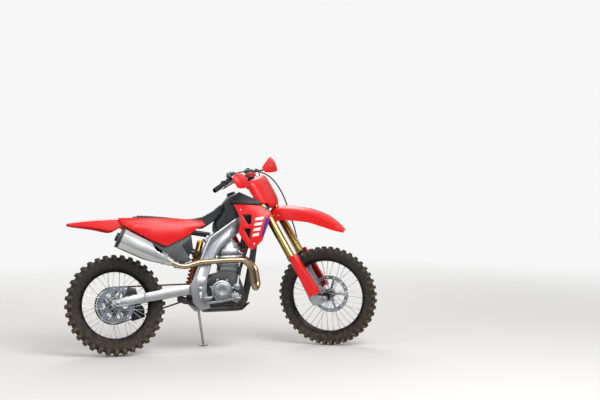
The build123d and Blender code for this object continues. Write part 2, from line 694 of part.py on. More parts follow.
shock_top = Vector(596, 0, 738)
shock_foot = Vector(485, 0, 345)
shock_way = (shock_foot - shock_top).normalized()
with BuildPart() as shock_absorber:
    rod(tuple(shock_top), tuple(shock_top + shock_way * 205), 22)
    rod(tuple(shock_top + shock_way * 205), tuple(shock_foot), 9)
    rod(tuple(shock_top + shock_way * 330), tuple(shock_top + shock_way * 345), 35)
    rod(tuple(shock_top + shock_way * 78), tuple(shock_top + shock_way * 92), 35)
    rod((shock_top.X, -17, shock_top.Z), (shock_top.X, 17, shock_top.Z), 20)
    rod((shock_foot.X, -17, shock_foot.Z), (shock_foot.X, 17, shock_foot.Z), 15)
    rod((shock_foot.X, -40, shock_foot.Z), (shock_foot.X, 40, shock_foot.Z), 8.2,
        mode=Mode.SUBTRACT)

with BuildPart() as shock_spring:
    with BuildLine() as coil:
        Helix(pitch=26, height=226, radius=29, center=shock_top + shock_way * 98,
              direction=shock_way)
    with BuildSketch(Plane(origin=coil.line @ 0, z_dir=coil.line % 0)) as face:
        Circle(5.5)
    sweep(face.sketch, path=coil.line, is_frenet=True)

with BuildPart() as linkage:
    for flank in (1, -1):
        plate([(478, 326), (426, 346), (428, 378), (450, 381), (506, 360), (512, 326)],
              24 * flank - 6, 24 * flank + 6)
        box_bar((500, flank * 24, 332), (602, flank * 24, 292), 12, 18)
    rod((shock_foot.X, -30, shock_foot.Z), (shock_foot.X, 30, shock_foot.Z), 8)
    rod((602, -70, 290), (602, 70, 290), 9)
    add(cradle.part, mode=Mode.SUBTRACT)


def chain_edges(offset_in, offset_out):
    """The chain's inner and outer edges round both sprockets, waisted at every second pin."""
    run_x = gearbox_x
    run_z = gearbox_z - rear_radius
    span = sqrt(run_x ** 2 + run_z ** 2)
    slope = atan2(run_z, run_x)
    wrap = atan2(sqrt(span ** 2 - (rear_pitch_radius - front_pitch_radius) ** 2),
                 rear_pitch_radius - front_pitch_radius)
    straight = sqrt(span ** 2 - (rear_pitch_radius - front_pitch_radius) ** 2)
    rear_arc = rear_pitch_radius * 2 * (radians(180) - wrap)
    front_arc = front_pitch_radius * 2 * wrap
    length = 2 * straight + rear_arc + front_arc
    steps = 2 * round(length / (2 * chain_pitch))
    points = {offset_in: [], offset_out: []}
    for step in range(steps):
        s = length * step / steps
        if s < straight:
            angle = slope + wrap
            along = s
            base = (rear_pitch_radius * cos(angle) + along * sin(angle),
                    rear_radius + rear_pitch_radius * sin(angle) - along * cos(angle))
        elif s < straight + front_arc:
            angle = slope + wrap - (s - straight) / front_pitch_radius
            base = (run_x + front_pitch_radius * cos(angle),
                    gearbox_z + front_pitch_radius * sin(angle))
        elif s < 2 * straight + front_arc:
            angle = slope - wrap
            along = s - straight - front_arc
            base = (run_x + front_pitch_radius * cos(angle) + along * sin(angle),
                    gearbox_z + front_pitch_radius * sin(angle) - along * cos(angle))
        else:
            angle = slope - wrap - (s - 2 * straight - front_arc) / rear_pitch_radius
            base = (rear_pitch_radius * cos(angle), rear_radius + rear_pitch_radius * sin(angle))
        waist = 0.62 if step % 2 else 1.0
        for edge, line in points.items():
            line.append((base[0] + edge * waist * cos(angle), base[1] + edge * waist * sin(angle)))
    return points[offset_in], points[offset_out]


with BuildPart() as chain:
    inner_edge, outer_edge = chain_edges(-chain_height / 2, chain_height / 2)
    with BuildSketch(side(chain_offset + chain_width / 2)) as loop:
        outline(outer_edge)
        Polygon(*inner_edge, align=None, mode=Mode.SUBTRACT)
    extrude(loop.sketch, amount=chain_width)

with BuildPart() as rear_caliper:
    plate([(60, 394), (78, 452), (132, 440), (140, 402), (110, 400)], -92, -56)
    rod((0, -disc_offset - 3.6, rear_radius), (0, -disc_offset + 3.6, rear_radius),
        rear_disc_radius + 2, mode=Mode.SUBTRACT)

peg_length = 84
peg_teeth = 7
with BuildPart() as footpegs:
    plate([(572, 342), (572, 360), (622, 360), (622, 342)], spar_outer, spar_outer + peg_length)
    for start, end in [(12, 30), (36, 54), (60, 78)]:
        plate([(579, 340), (579, 364), (615, 364), (615, 340)], spar_outer + start,
              spar_outer + end, mode=Mode.SUBTRACT)
    for tooth in range(peg_teeth):
        y = spar_outer + 12 + tooth * (peg_length - 12) / peg_teeth
        plate([(565, 354), (565, 364), (630, 364), (630, 354)], y, y + 5, mode=Mode.SUBTRACT)
    mirror(about=Plane.XZ)

with BuildPart() as foot_levers:
    plate([(592, 312), (592, 330), (700, 336), (800, 352), (832, 352), (832, 338), (800, 338),
           (700, 322)], -128, -118)
    plate([(796, 338), (796, 353), (832, 353), (832, 338)], -148, -118)
    rod((602, -118, 321), (602, -spar_outer, 321), 8)
    plate([(700, 330), (700, 344), (820, 352), (820, 338)], 114, 122)
    rod((708, 122, 337), (708, 82, 337), 7)
    rod((814, 114, 345), (814, 146, 345), 8)

with BuildPart() as skid_plate:
    skid_line = [(620, 271), (600, 279), (600, 275), (620, 267), (852, 267), (908, 315), (903, 318),
                 (850, 271)]
    plate(skid_line, -82, 82)
    add(cradle.part, mode=Mode.SUBTRACT)

# Steering

tube_x = clamp_offset


def clamp_sketch(pinch, waist):
    """The plan of a triple clamp: two pinch bores joined by a waisted bridge."""
    for flank in (1, -1):
        with Locations((tube_x, flank * tube_spread)):
            Circle(pinch)
    Polygon((-waist, 14), (-8, 56), (-12, tube_spread), (36, tube_spread), (24, 50), (26, 0),
            (24, -50), (36, -tube_spread), (-12, -tube_spread), (-8, -56), (-waist, -14),
            align=None)
    for flank in (1, -1):
        with Locations((tube_x, flank * tube_spread)):
            Circle(tube_radius + 0.2, mode=Mode.SUBTRACT)


with BuildPart() as lower_clamp:
    with BuildSketch(Plane.XY.offset(lower_clamp_foot)) as plan:
        clamp_sketch(clamp_pinch, 28)
    extrude(plan.sketch, amount=clamp_height)
    rod((0, 0, lower_clamp_foot), (0, 0, upper_clamp_foot), stem_radius)

with BuildPart() as upper_clamp:
    with BuildSketch(Plane.XY.offset(upper_clamp_foot)) as plan:
        clamp_sketch(clamp_pinch, 28)
    extrude(plan.sketch, amount=clamp_height)
    for y in (-38, 38):
        with BuildSketch(side(y + 12)) as mount:
            with Locations((bar_back, (upper_clamp_foot + clamp_height + bar_height + 20) / 2)):
                Rectangle(42, bar_height + 20 - upper_clamp_foot - clamp_height)
        extrude(mount.sketch, amount=24)
    rod((bar_back, -90, bar_height), (bar_back, 90, bar_height), bar_radius + 0.1,
        mode=Mode.SUBTRACT)

with BuildPart() as fork_tubes:
    with Locations((tube_x, tube_spread, tube_foot)):
        Cylinder(tube_radius, tube_top - tube_foot, align=(Align.CENTER, Align.CENTER, Align.MIN))
        Cylinder(tube_radius + 2.5, 24, align=(Align.CENTER, Align.CENTER, Align.MIN))
    mirror(about=Plane.XZ)

foot_inner = 95
foot_wall = 26
with BuildPart() as fork_lowers:
    with Locations((tube_x, tube_spread, 40)):
        Cylinder(slider_radius, tube_foot - 40, align=(Align.CENTER, Align.CENTER, Align.MIN))
    with BuildSketch(side(foot_inner + foot_wall)) as foot:
        with Locations((head_offset, 0)):
            Circle(23)
        outline([(-14, 62), (-14, 10), (6, -16), (66, -22), (84, 16), (40, 42), (38, 62)])
    extrude(foot.sketch, amount=foot_wall)
    rod((head_offset, 80, 0), (head_offset, 130, 0), front_axle_radius + 0.2, mode=Mode.SUBTRACT)
    mirror(about=Plane.XZ)

with BuildPart() as fork_guards:
    # Each row of the table: height, then the outer (x, y) line from the rear edge round the front.
    guard_rows = [(60, [(-8, 142), (6, 147), (56, 147), (76, 134), (76, 100)]),
                  (366, [(6, 143), (16, 147), (46, 147), (58, 136), (58, 106)])]
    faces = []
    for height, line in guard_rows:
        inner = [(x - 1, y - 3) for x, y in line[:3]] + [(x - 3, y - 1) for x, y in line[3:]]
        with BuildSketch(Plane.XY.offset(height)) as face:
            outline(line + list(reversed(inner)))
        faces.append(face.sketch)
    loft(faces, ruled=True)
    mirror(about=Plane.XZ)

with BuildPart() as front_axle:
    rod((head_offset, -128, 0), (head_offset, 128, 0), front_axle_radius)
    for flank in (1, -1):
        rod((head_offset, flank * 121, 0), (head_offset, flank * 131, 0), 17)
    rod((head_offset, -140, 0), (head_offset, 140, 0), axle_bore, mode=Mode.SUBTRACT)

with BuildPart() as front_caliper:
    plate([(-74, -20), (-80, 40), (-58, 76), (-34, 76), (-22, 66), (-20, -20)], 40, 84)
    plate([(-60, 0), (-60, 50), (-16, 50), (-16, 38), (6, 30), (6, 4), (-10, 0)], 84, foot_inner)
    rod((head_offset, front_disc_offset - 3.6, 0), (head_offset, front_disc_offset + 3.6, 0),
        front_disc_radius + 2, mode=Mode.SUBTRACT)


def eased(points):
    """The largest even radii for the corners of a hose's route."""
    radii = []
    for before, corner, after in zip(points, points[1:], points[2:]):
        first = Vector(*corner) - Vector(*before)
        second = Vector(*after) - Vector(*corner)
        half_turn = radians(first.get_angle(second)) / 2
        radii.append(0.45 * min(first.length, second.length) / tan(half_turn))
    return radii


hose_route = [(-46, -148.5, 1046), (-16, -122, 1040), (28, -78, 1018), (76, -18, 984),
              (112, 40, 915), (114, 88, 820), (98, 120, 715), (66, 142, 610), (44, 150, 500),
              (10, 152, 410), (-24, 136, 320), (-38, 110, 215), (-46, 76, 130), (-46, 66, 77.2)]
with BuildPart() as brake_hose:
    bent_rod(hose_route, 3.5, eased(hose_route))

grip_start = Vector(-94, 262, 1020)
grip_end = Vector(-128, 402, 1010)
bar_route = [(bar_back, 0, bar_height), (bar_back, 76, bar_height), (-76, 186, 1024),
             tuple(grip_end)]
grip_way = (grip_end - Vector(-76, 186, 1024)).normalized()
with BuildPart() as handlebar:
    bent_rod(bar_route, bar_end_radius, [40, 60])
    rod((bar_back, 0, bar_height), (bar_back, 62, bar_height), bar_radius)
    rod(tuple(grip_end - grip_way * bar_bore_depth), tuple(grip_end + grip_way), bar_bore,
        mode=Mode.SUBTRACT)
    mirror(about=Plane.XZ)

with BuildPart() as grips:
    rod(tuple(grip_end - grip_way * 132), tuple(grip_end), 16)
    rod(tuple(grip_end - grip_way * 136), tuple(grip_end - grip_way * 130), 25)
    rod(tuple(grip_end - grip_way * 140), tuple(grip_end + grip_way * 2), bar_end_radius + 0.2,
        mode=Mode.SUBTRACT)
    mirror(about=Plane.XZ)

with BuildPart() as hand_controls:
    perch = grip_end - grip_way * 178
    rod(tuple(perch), tuple(perch + grip_way * 30), 19)
    box_bar(tuple(perch + grip_way * 15), (-34, 222, 1000), 20, 24)
    box_bar((-36, 216, 1000), (-44, 300, 1000), 8, 16, level=(1, 0, 0))
    box_bar((-44, 298, 1000), (-70, 392, 996), 8, 16, level=(1, 0, 0))
    mirror(about=Plane.XZ)
    plate([(-72, 1040), (-72, 1062), (-30, 1062), (-30, 1040)], -226, -152.3)
    box_bar((-76, -240, 1028), (-54, -216, 1048), 20, 16)
    for flank in (1, -1):
        near = perch - grip_way * 12
        far = perch + grip_way * 42
        rod((near.X, flank * near.Y, near.Z), (far.X, flank * far.Y, far.Z), bar_end_radius + 0.2,
            mode=Mode.SUBTRACT)

with BuildPart() as handguards:
    # Each row of the table: distance out, then the outer (x, z) line from the top down.
    guard_line = [(200, [(28, 990), (36, 974), (30, 956)]),
                  (262, [(50, 1014), (66, 972), (54, 930)]),
                  (338, [(62, 1032), (82, 978), (66, 918)]),
                  (396, [(52, 1036), (72, 988), (58, 930)]),
                  (422, [(26, 1020), (40, 988), (30, 950)])]
    faces = []
    for out, line in guard_line:
        inner = [(x - plastic, z) for x, z in reversed(line)]
        with BuildSketch(side(out)) as face:
            outline(line + inner)
        faces.append(face.sketch)
    loft(faces, ruled=True)
    bend_way = (Vector(*bar_route[2]) - Vector(*bar_route[1])).normalized()
    clamp_at = Vector(*bar_route[1]) + bend_way * 92
    box_bar(tuple(clamp_at), (32, 212, 974), 10, 12, level=(0, 0, 1))
    rod(tuple(clamp_at - bend_way * 10), tuple(clamp_at + bend_way * 10), 17)
    rod(tuple(clamp_at - bend_way * 12), tuple(clamp_at + bend_way * 14), bar_end_radius + 0.2,
        mode=Mode.SUBTRACT)
    mirror(about=Plane.XZ)

with BuildPart() as bar_pad:
    plate([(-56, 962), (-58, 1004), (20, 1010), (28, 1000), (28, 962), (10, 962), (10, 990),
           (-38, 990), (-38, 962)], -56, 56)

with BuildPart() as number_plate:
    # Each row of the table: height, then the outer (x, y) line from the middle to the side edge.
    plate_rows = [(716, [(56, 22), (53, 45), (49, 62), (46, 72), (43, 78)]),
                  (740, [(68, 25), (65, 62), (60, 86), (56, 100), (54, 108)]),
                  (757, [(68, 25), (65, 62), (60, 86), (56, 100), (54, 108)]),
                  (771, [(71, 25), (67, 70), (58, 108), (50, 130), (44, 138)]),
                  (785, [(73, 25), (69, 75), (54, 122), (26, 151), (8, 151)]),
                  (905, [(76, 25), (70, 75), (58, 118), (26, 151), (-10, 151)]),
                  (941, [(62, 24), (60, 70), (57, 114), (31, 151), (8, 151)]),
                  (954, [(32, 22), (30, 62), (26, 96), (16, 124), (6, 132)])]
    faces = []
    for height, line in plate_rows:
        inner = [(x - plastic, y - 2) for x, y in line]
        outer = [(x, -y) for x, y in reversed(line)] + line
        back = list(reversed(inner)) + [(x, -y) for x, y in inner]
        with BuildSketch(Plane.XY.offset(height)) as face:
            outline(outer + back)
        faces.append(face.sketch)
    loft(faces, ruled=True)

with BuildPart() as front_fender:
    arch([(1107, [(38, 950), (58, 940), (66, 880)]),
          (1135, [(46, 968), (66, 958), (76, 853)]),
          (1177, [(48, 974), (68, 960), (77, 892)]),
          (1281, [(50, 968), (76, 950), (88, 886)]),
          (1356, [(48, 960), (74, 940), (84, 882)]),
          (1457, [(42, 929), (64, 912), (74, 848)]),
          (1536, [(34, 890), (54, 872), (62, 818)]),
          (1598, [(24, 834), (40, 822), (46, 800)]),
          (1623, [(16, 803), (28, 798), (32, 790)])], plastic)

with BuildPart() as side_stand:
    foot_plate = 8
    knee = stand_foot + up * (stand_leg * 0.8)
    boss_half = stand_hinge * (ear_gap - running_gap)
    pin_half = stand_hinge * (ear_gap + ear_wall + 1)
    rod(tuple(stand_pivot - boss_half), tuple(stand_pivot + boss_half), stand_boss)
    rod(tuple(stand_pivot - pin_half), tuple(stand_pivot + pin_half), stand_pin)
    rod(tuple(stand_pivot), tuple(knee), stand_leg)
    with BuildSketch(Plane(origin=stand_foot, x_dir=(1, 0, 0), z_dir=up)) as sole:
        RectangleRounded(64, 44, 12)
    extrude(sole.sketch, amount=foot_plate)

# Parked pose

wheel_turn = Location((0, 0, 0), (-90, 0, 0))


def turned_front():
    """The steering turned to its parked angle, as a location in the chassis frame."""
    plane = Plane(origin=steering_base, x_dir=Vector(cos(radians(rake)), 0, sin(radians(rake))),
                  z_dir=steering_axis)
    return plane.location


fork_home = turned_front()
steer = fork_home * Location((0, 0, 0), (0, 0, park_steer)) * fork_home.inverse()
fork_place = fork_home * Location((0, 0, 0), (0, 0, park_steer))
front_wheel_place = steer * Location(tuple(front_centre)) * wheel_turn
rear_wheel_place = Location(tuple(rear_centre)) * wheel_turn

# Each row of the table: name, piece, and its place in the upright chassis frame.
chassis_rows = [
    ("main_frame", main_frame), ("cradle", cradle), ("subframe", subframe),
    ("crankcase", crankcase), ("cylinder", cylinder),
    ("engine_covers", engine_covers), ("header_pipe", header_pipe), ("muffler", muffler),
    ("radiators", radiators), ("shrouds", shrouds), ("tank_covers", tank_covers),
    ("fuel_tank", fuel_tank), ("seat", seat), ("side_panels", side_panels), ("airbox", airbox),
    ("airbox_covers", airbox_covers), ("rear_fender", rear_fender), ("swingarm", swingarm),
    ("swingarm_rails", swingarm_rails),
    ("swingarm_pivot", swingarm_pivot), ("rear_axle", rear_axle),
    ("shock_absorber", shock_absorber), ("shock_spring", shock_spring), ("linkage", linkage), ("chain_guide", chain_guide),
    ("chain", chain), ("rear_caliper", rear_caliper), ("footpegs", footpegs),
    ("foot_levers", foot_levers), ("skid_plate", skid_plate),
    ("side_stand", side_stand)]
fork_rows = [
    ("lower_clamp", lower_clamp), ("upper_clamp", upper_clamp), ("fork_tubes", fork_tubes),
    ("fork_lowers", fork_lowers), ("fork_guards", fork_guards), ("front_axle", front_axle),
    ("front_caliper", front_caliper), ("brake_hose", brake_hose), ("handlebar", handlebar),
    ("grips", grips), ("hand_controls", hand_controls), ("handguards", handguards),
    ("bar_pad", bar_pad), ("number_plate", number_plate)]
no_turn = Location((0, 0, 0))
placed = [(name, piece, no_turn) for name, piece in chassis_rows]
placed += [(name, piece, fork_place) for name, piece in fork_rows]
placed += [("front_fender", front_fender, steer)]
placed += [
    ("rear_tyre", rear_tyre, rear_wheel_place), ("rear_rim", rear_rim, rear_wheel_place),
    ("rear_hub", rear_hub, rear_wheel_place),
    ("rear_disc", rear_disc, rear_wheel_place * Location((0, 0, -disc_offset))),
    ("rear_sprocket", rear_sprocket, rear_wheel_place * Location((0, 0, chain_offset))),
    ("front_tyre", front_tyre, front_wheel_place), ("front_rim", front_rim, front_wheel_place),
    ("front_hub", front_hub, front_wheel_place),
    ("front_disc", front_disc, front_wheel_place * Location((0, 0, front_disc_offset)))]

stance = Plane(origin=up * floor_height, x_dir=Vector(1, 0, 0) - up * up.X, z_dir=up)
leaned = stance.location.inverse()
for name, piece, place in placed:
    piece.part.move(leaned * place)
boxes = [piece.part.bounding_box() for name, piece, place in placed]
low = Vector(min(b.min.X for b in boxes), min(b.min.Y for b in boxes), min(b.min.Z for b in boxes))
high = Vector(max(b.max.X for b in boxes), max(b.max.Y for b in boxes), 0)
home = Location((-(low.X + high.X) / 2, -(low.Y + high.Y) / 2, -low.Z))
for name, piece, place in placed:
    piece.part.move(home)
    piece.part.label = name
    export_step(piece.part, f"parts/{name}.step")
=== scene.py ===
import json
from math import acos, atan2, cos, pi, radians, sin, sqrt, tau
import bmesh
import bpy
from mathutils import Matrix, Vector
from mathutils.bvhtree import BVHTree


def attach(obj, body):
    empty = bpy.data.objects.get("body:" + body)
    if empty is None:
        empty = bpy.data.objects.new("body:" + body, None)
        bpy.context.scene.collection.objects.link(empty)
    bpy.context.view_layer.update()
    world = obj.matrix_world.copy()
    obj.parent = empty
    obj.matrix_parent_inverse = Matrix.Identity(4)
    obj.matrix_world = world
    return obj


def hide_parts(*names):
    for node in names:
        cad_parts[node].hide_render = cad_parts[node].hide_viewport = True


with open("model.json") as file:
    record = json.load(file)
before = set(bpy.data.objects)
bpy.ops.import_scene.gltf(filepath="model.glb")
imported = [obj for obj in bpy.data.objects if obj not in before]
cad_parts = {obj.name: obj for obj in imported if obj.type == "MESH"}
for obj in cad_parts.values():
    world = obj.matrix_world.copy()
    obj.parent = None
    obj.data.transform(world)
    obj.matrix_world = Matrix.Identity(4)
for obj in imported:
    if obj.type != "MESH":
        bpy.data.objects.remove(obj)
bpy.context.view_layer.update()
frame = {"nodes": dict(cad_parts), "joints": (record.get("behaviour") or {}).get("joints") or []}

nodes = frame["nodes"]

# Places on the machine.
# The chassis, the fork and both wheels each have a frame of their own in millimetres, found from
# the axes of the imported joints, so that a part is drawn upright and lands where the CAD has it.

joints = {joint["name"]: joint for joint in frame["joints"]}
rake = radians(27)
rear_radius = 338
axle_lead = 70


def axes_at(origin, forward, left, up):
    """A frame with its origin in metres and its lengths in millimetres."""
    made = Matrix((forward, left, up)).transposed().to_4x4()
    made.translation = origin
    return made @ Matrix.Scale(0.001, 4)


def joint_axis(name):
    return Vector(joints[name]["pos_m"]), Vector(joints[name]["axis"]).normalized()


rear_centre, left = joint_axis("rear_wheel_spin")
front_centre, fork_left = joint_axis("front_wheel_spin")
steering_up = joint_axis("steering")[1]
up = Matrix.Rotation(rake, 3, left) @ steering_up
forward = left.cross(up)
fork_forward = fork_left.cross(steering_up)

bike = axes_at(rear_centre - up * rear_radius * 0.001, forward, left, up)
fork = axes_at(front_centre - fork_forward * axle_lead * 0.001, fork_forward, fork_left,
               steering_up)
rear_wheel = axes_at(rear_centre, forward, -up, left)
front_wheel = axes_at(front_centre, fork_forward, -steering_up, fork_left)

# Studio.
# A pale floor that fades into a white surround, a large soft key light from the front right, a
# weaker fill, and a camera at the photograph's distance and angle to the machine.


def srgb(code, alpha=1.0):
    """A hex colour as linear values."""
    shares = [int(code[i:i + 2], 16) / 255 for i in (1, 3, 5)]
    return [s / 12.92 if s <= 0.04045 else ((s + 0.055) / 1.055) ** 2.4 for s in shares] + [alpha]


def add_node(tree, kind, inputs=None, **settings):
    """Adds a node, sets its properties, and sets or links its sockets."""
    made = tree.nodes.new(kind)
    for key, value in settings.items():
        setattr(made, key, value)
    for key, value in (inputs or {}).items():
        if isinstance(value, bpy.types.NodeSocket):
            tree.links.new(value, made.inputs[key])
        else:
            made.inputs[key].default_value = value
    return made


def link_object(name, data):
    made = bpy.data.objects.new(name, data)
    bpy.context.scene.collection.objects.link(made)
    return made


def new_material(name):
    made = bpy.data.materials.new(name)
    made.use_nodes = True
    made.node_tree.nodes.clear()
    return made, made.node_tree


floor_radius, floor_corners = 8, 96
floor_clear_radius = 2.4
floor_fade_radius = 6.0
floor_finish, tree = new_material("studio_floor")
spot = add_node(tree, "ShaderNodeTexCoord")
reach = add_node(tree, "ShaderNodeVectorMath", {0: spot.outputs["Object"]}, operation="LENGTH")
fade = add_node(tree, "ShaderNodeMapRange", {"Value": reach.outputs["Value"],
                "From Min": floor_clear_radius, "From Max": floor_fade_radius},
                interpolation_type="SMOOTHSTEP")
plain = add_node(tree, "ShaderNodeBsdfDiffuse", {"Color": srgb("#E9E8E5")})
clear = add_node(tree, "ShaderNodeBsdfTransparent")
blend = add_node(tree, "ShaderNodeMixShader", {0: fade.outputs["Result"], 1: plain.outputs[0],
                                              2: clear.outputs[0]})
add_node(tree, "ShaderNodeOutputMaterial", {"Surface": blend.outputs[0]})
rim_corners = [(floor_radius * cos(tau * i / floor_corners),
                floor_radius * sin(tau * i / floor_corners), 0) for i in range(floor_corners)]
floor_mesh = bpy.data.meshes.new("studio_floor")
floor_mesh.from_pydata(rim_corners, [], [tuple(range(floor_corners))])
floor_mesh.materials.append(floor_finish)
link_object("studio_floor", floor_mesh)

scene = bpy.context.scene
scene.view_settings.view_transform = "Standard"
surround = bpy.data.worlds.new("surround")
surround.use_nodes = True
tree = surround.node_tree
tree.nodes.clear()
# The surround's strength where it lights the machine, and where the camera sees it.
light_strength, seen_strength = 0.45, 0.93
# Reflections see a dark horizon under a bright sky, which gives the metals their contrast.
horizon_strength, sky_strength = 0.14, 1.0
ray = add_node(tree, "ShaderNodeLightPath")
spot = add_node(tree, "ShaderNodeTexCoord")
height = add_node(tree, "ShaderNodeSeparateXYZ", {"Vector": spot.outputs["Generated"]})
mirrored_sky = add_node(tree, "ShaderNodeMapRange", {"Value": height.outputs["Z"],
                        "From Min": 0.02, "From Max": 0.5, "To Min": horizon_strength,
                        "To Max": sky_strength}, interpolation_type="SMOOTHSTEP")
lit = add_node(tree, "ShaderNodeMix", {0: ray.outputs["Is Glossy Ray"], 2: light_strength,
                                       3: mirrored_sky.outputs["Result"]})
seen = add_node(tree, "ShaderNodeMath", {0: ray.outputs["Is Camera Ray"],
                1: ray.outputs["Is Transmission Ray"]}, operation="MAXIMUM")
level = add_node(tree, "ShaderNodeMix", {0: seen.outputs[0], 2: lit.outputs[0],
                                         3: seen_strength})
sky = add_node(tree, "ShaderNodeBackground", {"Color": srgb("#FFFFFF"),
                                              "Strength": level.outputs[0]})
add_node(tree, "ShaderNodeOutputWorld", {"Surface": sky.outputs[0]})
scene.world = surround

# Each row of the table: name, place in metres, width of the square, power in watts.
lamps = [("key_light", (1.6, -4.2, 4.4), 3.0, 210), ("fill_light", (-4.2, -2.6, 2.6), 3.0, 55),
         ("back_light", (0.5, 4.2, 3.6), 3.0, 90)]
lit_point = Vector((0, 0, 0.5))
for name, place, width, power in lamps:
    lamp = bpy.data.lights.new(name, "AREA")
    lamp.size = width
    lamp.energy = power
    holder = link_object(name, lamp)
    holder.location = place
    beam = lit_point - Vector(place)
    holder.rotation_euler = beam.to_track_quat("-Z", "Y").to_euler()

# The camera is placed against the upright machine, in millimetres: its turn, rise and roll about
# it, the point midway between the axles, and the pixels by which that point lies right of the
# frame's middle and below it.
camera_turn, camera_rise, camera_roll = radians(11.5), radians(-2.3), radians(2.7)
camera_distance = 11000
mid_axles = Vector((738, 0, 342))
mid_right, mid_down = -77, 100
focal_pixels, frame_pixels = 1611, 600
aim = Vector((sin(camera_turn) * cos(camera_rise), cos(camera_turn) * cos(camera_rise),
              -sin(camera_rise)))
across = aim.cross(Vector((0, 0, 1))).normalized()
over = across.cross(aim)
across, over = (across * cos(camera_roll) - over * sin(camera_roll),
                across * sin(camera_roll) + over * cos(camera_roll))
eye = mid_axles - aim * camera_distance
aim = (aim - across * mid_right / focal_pixels + over * mid_down / focal_pixels).normalized()
across = (across - aim * across.dot(aim)).normalized()
over = across.cross(aim)
lens = bpy.data.cameras.new("camera")
lens.sensor_width = 36
lens.lens = lens.sensor_width * focal_pixels / frame_pixels
lens.clip_end = 100
camera = link_object("camera", lens)
pose = Matrix((across, over, -aim)).transposed().to_4x4()
pose.translation = eye
leaned = bike @ pose
turn = Matrix([leaned.to_3x3().col[i].normalized() for i in range(3)]).transposed()
camera.matrix_world = Matrix.Translation(leaned.translation) @ turn.to_4x4()
scene.camera = camera

# Frame, swingarm, clamps and stand.
# The main frame is forged and extruded aluminium, the swingarm a cast yoke with welded rails, both
# clear anodised; the cradle and subframe are painted. Edges are broken, as a file or mould does.

# Brush marks, tool marks and moulded grain are too fine for the render, so each finish draws its
# grain 0.4 to 2.2 mm wide, as coarse as it needs to show, with at most this depth in metres.
grain_depth = 0.0004
dry_soil, soil_roughness, dust_height = "#8A7658", 0.9, 0.75
# Two faces meet sharply, in a rounded edge, or as one flat face, past or under these angles.
sharp_angle, rounded_angle, flat_angle = radians(34), radians(28), radians(1)
same_spot = 0.00002


def surface(name, colour, second, patch, grain, bump, roughness, spread, metallic=0.0,
            stretch=(1, 1, 1), coat=0.0, dust=0.0):
    """A finish that drifts between two tones over patches, under a grain, both sized in mm."""
    made, tree = new_material(name)
    spot = add_node(tree, "ShaderNodeTexCoord")
    flow = add_node(tree, "ShaderNodeMapping", {"Vector": spot.outputs["Object"],
                                                "Scale": stretch})
    drift = add_node(tree, "ShaderNodeTexNoise", {"Vector": spot.outputs["Object"],
                     "Scale": 1000 / patch, "Detail": 4.0, "Roughness": 0.6})
    tone = add_node(tree, "ShaderNodeMix", {0: drift.outputs["Fac"], 6: srgb(colour),
                    7: srgb(second)}, data_type="RGBA")
    colour_out = tone.outputs[2]
    fine = add_node(tree, "ShaderNodeTexNoise", {"Vector": flow.outputs["Vector"],
                    "Scale": 1000 / grain, "Detail": 3.0})
    rough = add_node(tree, "ShaderNodeMapRange", {"Value": drift.outputs["Fac"],
                     "From Min": 0.3, "From Max": 0.7, "To Min": roughness - spread / 2,
                     "To Max": roughness + spread / 2})
    rough_out = rough.outputs["Result"]
    if dust:
        # Dry soil clings in patches of about 26 mm, and more of it lower down.
        high = add_node(tree, "ShaderNodeSeparateXYZ", {"Vector": spot.outputs["Object"]})
        low = add_node(tree, "ShaderNodeMapRange", {"Value": high.outputs["Z"],
                       "From Min": dust_height, "From Max": 0.0, "To Min": 0.15, "To Max": 1.0})
        clods = add_node(tree, "ShaderNodeTexNoise", {"Vector": spot.outputs["Object"],
                         "Scale": 38.0, "Detail": 8.0, "Roughness": 0.7})
        cling = add_node(tree, "ShaderNodeMapRange", {"Value": clods.outputs["Fac"],
                         "From Min": 0.42, "From Max": 0.76, "To Max": dust})
        share = add_node(tree, "ShaderNodeMath", {0: cling.outputs["Result"],
                         1: low.outputs["Result"]}, operation="MULTIPLY")
        soiled = add_node(tree, "ShaderNodeMix", {0: share.outputs[0], 6: colour_out,
                          7: srgb(dry_soil)}, data_type="RGBA")
        colour_out = soiled.outputs[2]
        dull = add_node(tree, "ShaderNodeMix", {0: share.outputs[0], 2: rough_out,
                                                3: soil_roughness})
        rough_out = dull.outputs[0]
    relief = add_node(tree, "ShaderNodeBump", {"Height": fine.outputs["Fac"], "Strength": bump,
                      "Distance": grain_depth})
    body = add_node(tree, "ShaderNodeBsdfPrincipled", {"Base Color": colour_out,
                    "Roughness": rough_out, "Metallic": metallic, "Normal": relief.outputs[0],
                    "Coat Weight": coat, "Coat Roughness": 0.12})
    add_node(tree, "ShaderNodeOutputMaterial", {"Surface": body.outputs[0]})
    return made


def worked(piece):
    """A new mesh of a piece as its modifiers or its curve shape it."""
    graph = bpy.context.evaluated_depsgraph_get()
    return bpy.data.meshes.new_from_object(piece.evaluated_get(graph))


def settle(piece, body, replaced=(), place=None):
    """Applies a piece's modifiers, puts its mesh in place and hands it to its body."""
    mesh = worked(piece)
    piece.modifiers.clear()
    piece.data = mesh
    if place is not None:
        mesh.transform(place)
    mesh.shade_smooth()
    mesh.set_sharp_from_angle(angle=sharp_angle)
    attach(piece, body)
    if replaced:
        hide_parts(*replaced)


